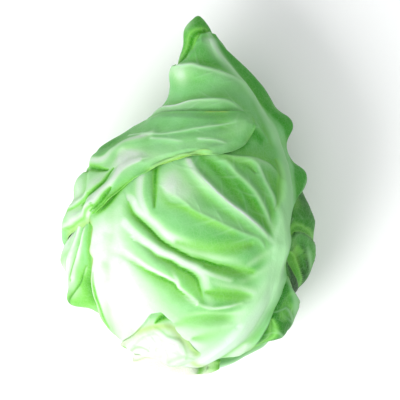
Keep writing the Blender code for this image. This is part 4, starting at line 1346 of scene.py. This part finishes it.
# %% Front leaf: shade and pale lines between the veins
# the deep strokes are painted shade
BETWEEN_VEINS = (
    ("deep", ((23, 15), (20, 24), (19, 30), (15, 36)), 0.9, 3.0, 3.0),
    ("deep", ((22, 5), (19, 10), (13, 15), (5, 21), (-6, 28)), 1.0, 3.4, 3.4, (1, 1, 1, 1, 0.5)),
    ("deep", ((-20, 42), (-9, 36), (0, 30), (8, 25), (15, 20)), 0.8, 3.6, 3.6),
    ("deep", ((-76, 28), (-78, 16), (-80, 2)), 0.5, 3.0, 3.0),
    ("pale", ((-84, 30), (-89, 22), (-91.5, 12), (-91.5, 4)), 0.9, 1.2, 1.6),
    ("pale", ((-71, 33), (-73, 22), (-72, 10), (-74, -4)), 0.4, 1.6, 1.8),
    ("pale", ((-34, 44), (-42, 33), (-48, 26), (-50, 18)), 0.45, 2.2, 2.2, (0.8, 1, 0.6, 0.0)),
    ("pale", ((-44, 43), (-50, 35), (-54, 28), (-55, 20)), 0.45, 2.2, 2.2, (0.8, 1, 0.6, 0.0)),
    ("pale", ((-54, 42), (-61, 37), (-66, 30)), 0.45, 2.2, 2.2, (0.8, 1, 0.6, 0.0)),
)
front.strokes(BETWEEN_VEINS)

# %% [markdown]
# ## Margins and colour of the front leaf
# Its left margin is thin, crumpled and yellow-green, and its right one is a narrow blade beyond
# the midrib, painted dark green as shade where it turns away. Large soft patches come last: pale
# where the leaf faces the window, deep green where it turns away. A patch adds to what is there
# and a stroke only covers what is weaker, so the order of the two is part of the recipe.

# %% Front leaf: swellings and margins
for place in ((42, 92, 10, 14, 8.3), (8, 88, 8, 12, 4.0), (76, 95, 22, 16, 1.6), (-60, -20, 30, 45, 2.0)):
    front.lift(*place)
# painted highlight on a fold along the left margin
front.fold(((-56, -63), (-64, -66), (-72, -74), (-79, -82)), 0.8, 1.2, 1.2, glow=0.3)
front.frill("left", 0.7, 22.0, 0.1, reach=2.0)
front.frill("right", 0.9, 7.0, 0.4, reach=5.0)
front.uneven(26.0, 0.9)
front.uneven(9.0, 0.28)
LEFT_EDGE = ((-12, -60), (-16, -61), (-20, -57), (-28, -58.5), (-35, -60), (-39, -58), (-47, -62.5),
             (-54, -66), (-60, -68.5), (-66.5, -71.5), (-74, -80), (-82, -88))
INSIDE_EDGE = ((-48, -58), (-54, -60.5), (-61, -63), (-68, -66.5), (-75, -73), (-83, -82))
RIGHT_BLADE = ((-8, 64), (2, 68), (10, 72), (26, 86), (38, 77), (50, 67), (59, 60), (70, 56),
               (81, 52), (96, 38))
PALE_BAND = ((-18, -34), (-25, -27), (-32, -18), (-38, -10), (-43, -3), (-47, 5), (-50, 13), (-53, 21))
# deep strokes paint shade on the right blade and below the tongue, the other dark green ones shade in
# creases, pale ones painted light; edge and vein strokes are the yellow margins and white base
MARGIN_STROKES = (
    ("edge", LEFT_EDGE, 1.0, 2.4, 2.0, 1),
    ("hollow", INSIDE_EDGE, 0.75, 1.0, 1.0, (0.4, 1, 1, 1, 0.8)),
    ("deep", RIGHT_BLADE, 0.95, 2.0, 34.0, 1),
    ("deep", ((85, -14), (83, 2), (81, 20), (76, 34)), 0.4, 2.0, 6.0),
    ("deep", ((38, 36), (36, 44), (31, 52)), 0.9, 4.0, 4.0),
    ("deep", ((34, 36), (29, 31), (26, 26)), 0.8, 3.0, 1.5),
    ("pale", ((22, -34), (12, -31), (0, -28), (-9, -24), (-17, -20), (-25, -14), (-31, -8)), 0.9, 2.6, 3.8),
    ("pale", PALE_BAND, 0.95, 2.4, 2.0, (1, 1, 1, 1, 0.9, 0.6)),
    ("vein", ((-99, 22), (-91, 28), (-84, 33), (-76, 36), (-68, 39)), 0.95, 7.0, 4.0, (1, 1, 1, 0.8, 0.3)),
    ("edge", ((-101, 76), (-97, 82), (-93, 74), (-90, 68)), 0.6, 1.5, 1.5),
    ("edge", ((-98, 10), (-100, 24), (-100.5, 42)), 0.7, 2.5, 2.5),
    ("hollow", ((6, -38), (0, -42), (-5, -45), (-10, -49), (-14, -54)), 0.95, 1.6, 2.2),
)
front.strokes(MARGIN_STROKES)

# %% Front leaf: washes of painted light and shade, and laying it
FRONT_WASHES = (
    ("pale", -62, -44, 32, 28, 1.2),
    ("pale", -92, -30, 20, 34, 1.0),
    ("pale", -34, -46, 22, 14, 1.1),
    ("pale", -92, 30, 16, 16, 1.0),
    ("pale", 7, -12, 12, 9, 0.8),
    ("pale", 2, 0, 8, 8, 0.4),
    ("pale", 75, -46, 6, 6, 0.7),
    ("pale", -80, 36, 16, 7, 1.0),
    ("pale", -8, -38, 14, 5, 0.3),
    ("deep", 90, 8, 10, 16, 0.3),
    ("deep", -75, 14, 8, 16, 0.7),
    ("deep", -84, 12, 6, 12, 0.7),
)
front.washes(FRONT_WASHES)
front.stroke("pale", ((-99, 68), (-94, 62), (-88, 56)), 0.8, 6.0, 6.0)
# painted shade beside the midrib and on the blade
front.stroke("deep", ((-46, 40), (-47, 32), (-46, 22), (-44, 12), (-41, 4)), 0.7, 3.0, 4.0)
front.wash("deep", -30, 16, 9, 16, 0.45)
BESIDE_RIB = ((20, 55), (13, 53), (1, 50), (-12, 45), (-25, 42), (-36, 41))
front.stroke("deep", BESIDE_RIB, 0.6, 2.6, 2.6, (0.5, 1, 1, 1, 0.4))
front.wash("deep", -8, 36, 16, 9, 0.45)
front.settle(4.0, 9.0, 9.0)
front.lay(1.3, FRESH, "leaf_green", edge=(1.1, 0.0, 0.0, 0.0), hollow=(5, 0.8, 0.3))

# %% [markdown]
# ## The shoulder leaf and its tongue
# This leaf comes round from the left and ends as a rounded tongue on the front leaf. Its lower
# margin is crumpled and yellow-green, its upper margin so thin that it almost melts into the leaf
# below, and two slits open where it turns down the side, painted dark with shade.

# %% Shoulder leaf
shoulder = Leaf(
    "shoulder_leaf",
    rib=((-101, -132), (-80, -126), (-45, -114), (-12, -100), (12, -80), (26, -55), (31, -30), (33, -6),
         (37, 14), (44, 39.5)),
    left=((-101, -144), (-85, -143), (-50, -142), (-10, -140), (20, -128), (38, -104), (46, -74),
          (49, -44), (49.5, -16), (50, 6), (50, 24), (49.5, 33), (47, 39)),
    right=((-101, -124), (-85, -120), (-72, -114), (-60, -110), (-45, -105), (-32, -97), (-25, -84),
           (-21, -70), (-16, -58), (-9, -49), (3, -39), (9, -32), (14, -25), (19, -15), (21, -7), (23, 2),
           (23, 13), (26.5, 25), (31, 33), (37, 38), (41.5, 39.5)),
    steps=(321, 60, 72), seed=6, rag=0.5, settle=7.0,
)
shoulder.midrib((2.4, 1.0, 0.2), (8.0, 4.0, 2.0), (0.8, 0.1, 0.0))
print("the shoulder leaf is", round(length_of(shoulder.rib)), "mm long")

# %% Shoulder leaf: ridge, slits and veins
# the two ridges get a painted highlight
shoulder.fold(((34, -40), (31, -48), (28, -56), (22, -61), (16, -66), (13, -86)), 1.8, 4.0, 4.0, glow=0.9)
shoulder.fold(((18, -34), (14, -42), (6, -45), (-2, -50), (-10, -56), (-17, -63)), 1.6, 2.6, 4.0, glow=1.0)
# each slit is a groove with painted shade in it
SLITS = (  # line, depth, half width
    (((13, -52), (10, -53), (5, -54), (0, -58), (-3, -62), (-8, -68)), 2.6, 1.4),
    (((2, -46), (-2, -48), (-7, -51), (-12, -56)), 2.2, 1.2),
    (((12, -56), (11.5, -64), (11, -72), (9, -88)), 1.0, 1.6),
)
for line, depth, width in SLITS:
    shoulder.groove(line, depth, width, 0.95, widths=(0.4, 1, 1, 0.8, 0.3))
TONGUE_VEINS = (
    ((32, -62), (33.5, -45), (34, -31), (36, -18), (38.5, -6), (41, 8), (44, 26)),
    ((32, -2), (32, 9), (30, 19)),
    ((31, -36), (31, -24), (30, -10)),
)
for line in TONGUE_VEINS:
    shoulder.fold(line, 0.45, 2.0, 1.6)
    shoulder.vein(line, (0.3, 0.2), (0.8, 0.6), (0.7, 0.55, 0.7))
SIDE_VEINS = (
    ((-60, -118), (-50, -106), (-44, -92)),
    ((-38, -112), (-26, -98), (-18, -82)),
    ((-10, -100), (2, -88), (6, -78)),
    ((-50, -116), (-36, -126), (-26, -136)),
    ((-14, -101), (2, -112), (12, -124)),
)
shoulder.branches(TONGUE_VEINS[0], spacing=7.0, length=(6, 14))
shoulder.side_veins(SIDE_VEINS, 1.2, 4.0, (0.7, 0.3), (1.6, 0.8), (0.7, 0.4), spacing=7.0, length=(6, 14))
print("the shoulder leaf has", len(SLITS), "slits and", len(TONGUE_VEINS + SIDE_VEINS), "veins")

# %% Shoulder leaf: swellings, margins and washes
shoulder.lift(20, -80, 13, 14, 5.5)
shoulder.lift(-16, -88, 14, 14, 5.0)
shoulder.frill("right", 1.4, 17.0, 0.2, reach=3.0)
shoulder.uneven(18.0, 0.5)
shoulder.uneven(6.0, 0.2)
ABOVE_MARGIN = ((22, -52), (22, -40), (21, -30), (22, -20), (24, -10))
ON_TONGUE = ((24, -40), (24, -26), (26, -10), (29, 4), (30, 14))
UNDER_SLITS = ((9, -33), (3, -40), (-4, -46), (-9, -50), (-14, -56), (-20, -62))
# pale strokes are painted light, the dark green one painted shade under the slits, edge strokes the yellow
# margin
SHOULDER_STROKES = (
    ("pale", ABOVE_MARGIN, 0.9, 5.0, 5.0, (1, 0.8, 0.6, 0.4, 0.1)),
    ("pale", ON_TONGUE, 0.22, 7.0, 6.0, (1, 1, 1, 0.9, 0.8)),
    ("hollow", UNDER_SLITS, 0.8, 1.4, 1.0),
    ("edge", ((13, -27), (18, -17), (21, -8), (23, 3), (23, 12)), 0.5, 1.5, 1.2),
    ("edge", ((49.6, -6), (50.2, 4), (49.6, 14)), 0.85, 0.8, 0.8),
    ("edge", ((-16, -60), (-20, -70), (-24, -84), (-30, -96)), 0.5, 1.2, 1.6),
)
shoulder.strokes(SHOULDER_STROKES)
# pale washes are painted light, the deep one darkens the upper panel, and the last takes the pale away there
SHOULDER_WASHES = (
    ("pale", 40, 24, 7, 7, 0.25),
    ("pale", 16, -46, 7, 9, 0.9),
    ("pale", 2, -58, 12, 10, 0.75),
    ("pale", -22, -74, 20, 14, 0.9),
    ("pale", 0, -82, 9, 10, 0.6),
    ("deep", 26, -74, 9, 12, 0.9),
    ("pale", 27, -72, 9, 12, -0.9),
)
shoulder.washes(SHOULDER_WASHES)

# %% Shoulder leaf: the crumpled margin and the flare of its low end
MARGIN_CRUMPLES = (
    ((15, -26), (19.5, -18), (21, -9), (22, 0), (22.5, 6)),
    ((17, -22), (21.5, -13), (23.5, -4), (24.5, 3)),
    ((22.5, -6), (25, 0), (25.5, 6), (23.5, 11)),
)
for line in MARGIN_CRUMPLES:
    shoulder.fold(line, 0.6, 0.8, 0.8)
    shoulder.stroke("edge", line, 0.4, 0.7, 0.7)
shoulder.groove(((17, -20), (20.5, -11), (22, -3)), 0.5, 0.6, 0.6)
shoulder.lift(4, -86, 10, 20, 6.0)
# crumples at the low end: a painted highlight on their tops and painted shade in their creases
for line in (((-8, -56), (-14, -66), (-19, -78), (-22, -90)), ((-2, -64), (-8, -74), (-12, -88))):
    shoulder.fold(line, 1.6, 1.4, 3.0, crease=0.5, reach=1.4, glow=0.8)
# the low end sinks into the left leaf at its margin, which keeps the gap under it small
low_end = eased((-8.0 - shoulder.points[..., 1]) / 8.0)
shoulder.off *= 1 - low_end * (1 - eased(shoulder.from_right / 12.0))
shoulder.lay(0.6, FRESH, "leaf_green", edge=(0.7, 0.0, 0.08, 0.1), hollow=(5, 0.8, 0.3),
             edge_rise=0.5 - 1.9 * low_end)

# %% [markdown]
# ## The leaf underneath
# The head rests on this wrapper leaf. Its weight presses a flat patch into it, which is why the
# leaf's outer face is cut off level with the table there. The photograph doesn't show it.

# %% Under leaf
under = Leaf(
    "under_leaf",
    rib=((-101, 182), (-80, 184), (-30, 182), (30, 178), (75, 172), (98, 166)),
    left=((-101, 156), (-90, 140), (-55, 130), (-10, 129), (35, 134), (70, 140), (97, 142)),
    right=((-101, 208), (-90, 222), (-55, 232), (-10, 234), (35, 230), (70, 220), (97, 196)),
    steps=(220, 90, 90), seed=8,
)
under.midrib((4.5, 2.4, 0.8), (8.0, 5.0, 1.8), (1.0, 0.6, 0.4))
UNDER_VEINS = [
    ((root, 182), (root + 10, 182 + way * 14), (far, 182 + way * 26), (far + 4, margin))
    for root, far in ((-72 + 32 * k, -52 + 34 * k) for k in range(5))
    for margin, way in ((140, -1), (222, 1))
]
under.side_veins(UNDER_VEINS, 1.2, 4.0, (0.9, 0.3), (1.8, 0.8), (1.0, 0.5))
under.uneven(24.0, 0.6)
under.wash("pale", -100, 182, 30, 60, 0.8)
under.lay(0.4, OUTER, "outer_green")

# %% [markdown]
# ## The torn stub at the foot
# A short, torn leaf at the bottom of the face, crumpled and nearly white: partly its own pale and
# partly painted light. A gap above its ridge, under a small hood of the front leaf, is painted
# yellow-green as shade.

# %% Stub leaf
stub = Leaf(
    "stub_leaf",
    rib=((-101, -14), (-92, -14), (-82, -15), (-76, -18), (-70.5, -19)),
    left=((-101, -66), (-98, -73), (-93.5, -74), (-88, -51), (-80, -35), (-74.5, -28), (-71.5, -24)),
    right=((-101, 12), (-97, 20), (-94.5, 17), (-93, 10), (-90.5, 3), (-84.4, -5), (-77.4, -9),
           (-73.5, -13), (-71, -16)),
    steps=(150, 80, 80), seed=9, rag=0.6,
)
stub.midrib((0.6, 0.4, 0.1), (6.0, 4.0, 2.5), (0.0, 0.0, 0.0))
# the gap under the hood and the groove below it are painted shade
GAP_UNDER_HOOD = ((-77, -22), (-74.6, -18), (-74, -13), (-76, -9), (-78.5, -7))
stub.groove(GAP_UNDER_HOOD, 1.6, 1.9, 1.0, widths=(0.3, 0.9, 1.1, 0.8, 0.3))
stub.groove(((-79, -7), (-84, -4), (-90, 4), (-93, 11)), 0.6, 1.4, 0.4)
# the creases of the crumples carry painted shade
STUB_FOLDS = (  # line, height, how wide on its left and right, crease, and how far it reaches
    (((-95, -54), (-90, -44), (-85, -34), (-83, -27)), 1.2, 2.4, 1.6, 0.12, 1.4),
    (((-81, -22), (-86, -16), (-89, -7), (-95, 2)), 0.9, 1.4, 2.4, 0.2, 1.6),
    (((-86, -30), (-92, -27), (-98, -30)), 0.7, 1.8, 1.2, 0.0, 3.0),
    (((-99, -56), (-96, -49), (-94, -40), (-95, -33)), 0.8, 1.2, 1.8, 0.25, 1.2),
    (((-91, -22), (-95, -15), (-101, -14)), 0.7, 1.4, 2.0, 0.0, 3.0),
    (((-99, -8), (-96, 2), (-97, 10)), 0.9, 1.2, 1.8, 0.15, 1.2),
)
for line, height, left, right, crease, reach in STUB_FOLDS:
    stub.fold(line, height, left, right, crease=crease, reach=reach)
stub.uneven(9.0, 0.6)
stub.uneven(3.6, 0.45)
print("the stub has", len(STUB_FOLDS), "crumples")

# %% Stub leaf: colour, and laying it
STUB_EDGE = ((-94, -68), (-85, -44), (-80.5, -29), (-79, -21), (-80, -14), (-86, -7), (-91, 2), (-94, 12))
STUB_RIGHT = ((-72, -15), (-77.4, -9), (-84.4, -5), (-90.5, 3), (-94, 12))
# edge: the yellow-green upper margin, partly painted shade under the hood; the rest paint shade in small pits
# and on the right margin
STUB_STROKES = (
    ("edge", STUB_EDGE, 0.65, 1.8, 2.6, (0.4, 0.7, 1, 1, 1, 0.9, 0.7)),
    ("hollow", ((-94, -62), (-95, -57)), 0.7, 0.8, 0.8, 1),
    ("hollow", ((-97, -50), (-98, -44)), 0.7, 0.8, 0.8, 1),
    ("hollow", ((-96, -54), (-97, -52)), 0.7, 0.8, 0.8, 1),
    ("hollow", STUB_RIGHT, 0.3, 2.6, 2.2, 1),
)
stub.strokes(STUB_STROKES)
# the leaf's own pale, and painted light
stub.wash("pale", -92, -22, 26, 60, 1.0)
stub.settle(4.0, 11.0, 5.0)
stub.lay(0.0, FRESH, "leaf_green", edge=(1.0, 0.1, 0.0, 0.0), hollow=(4, 0.5, 0.3), edge_rise=-1.0)
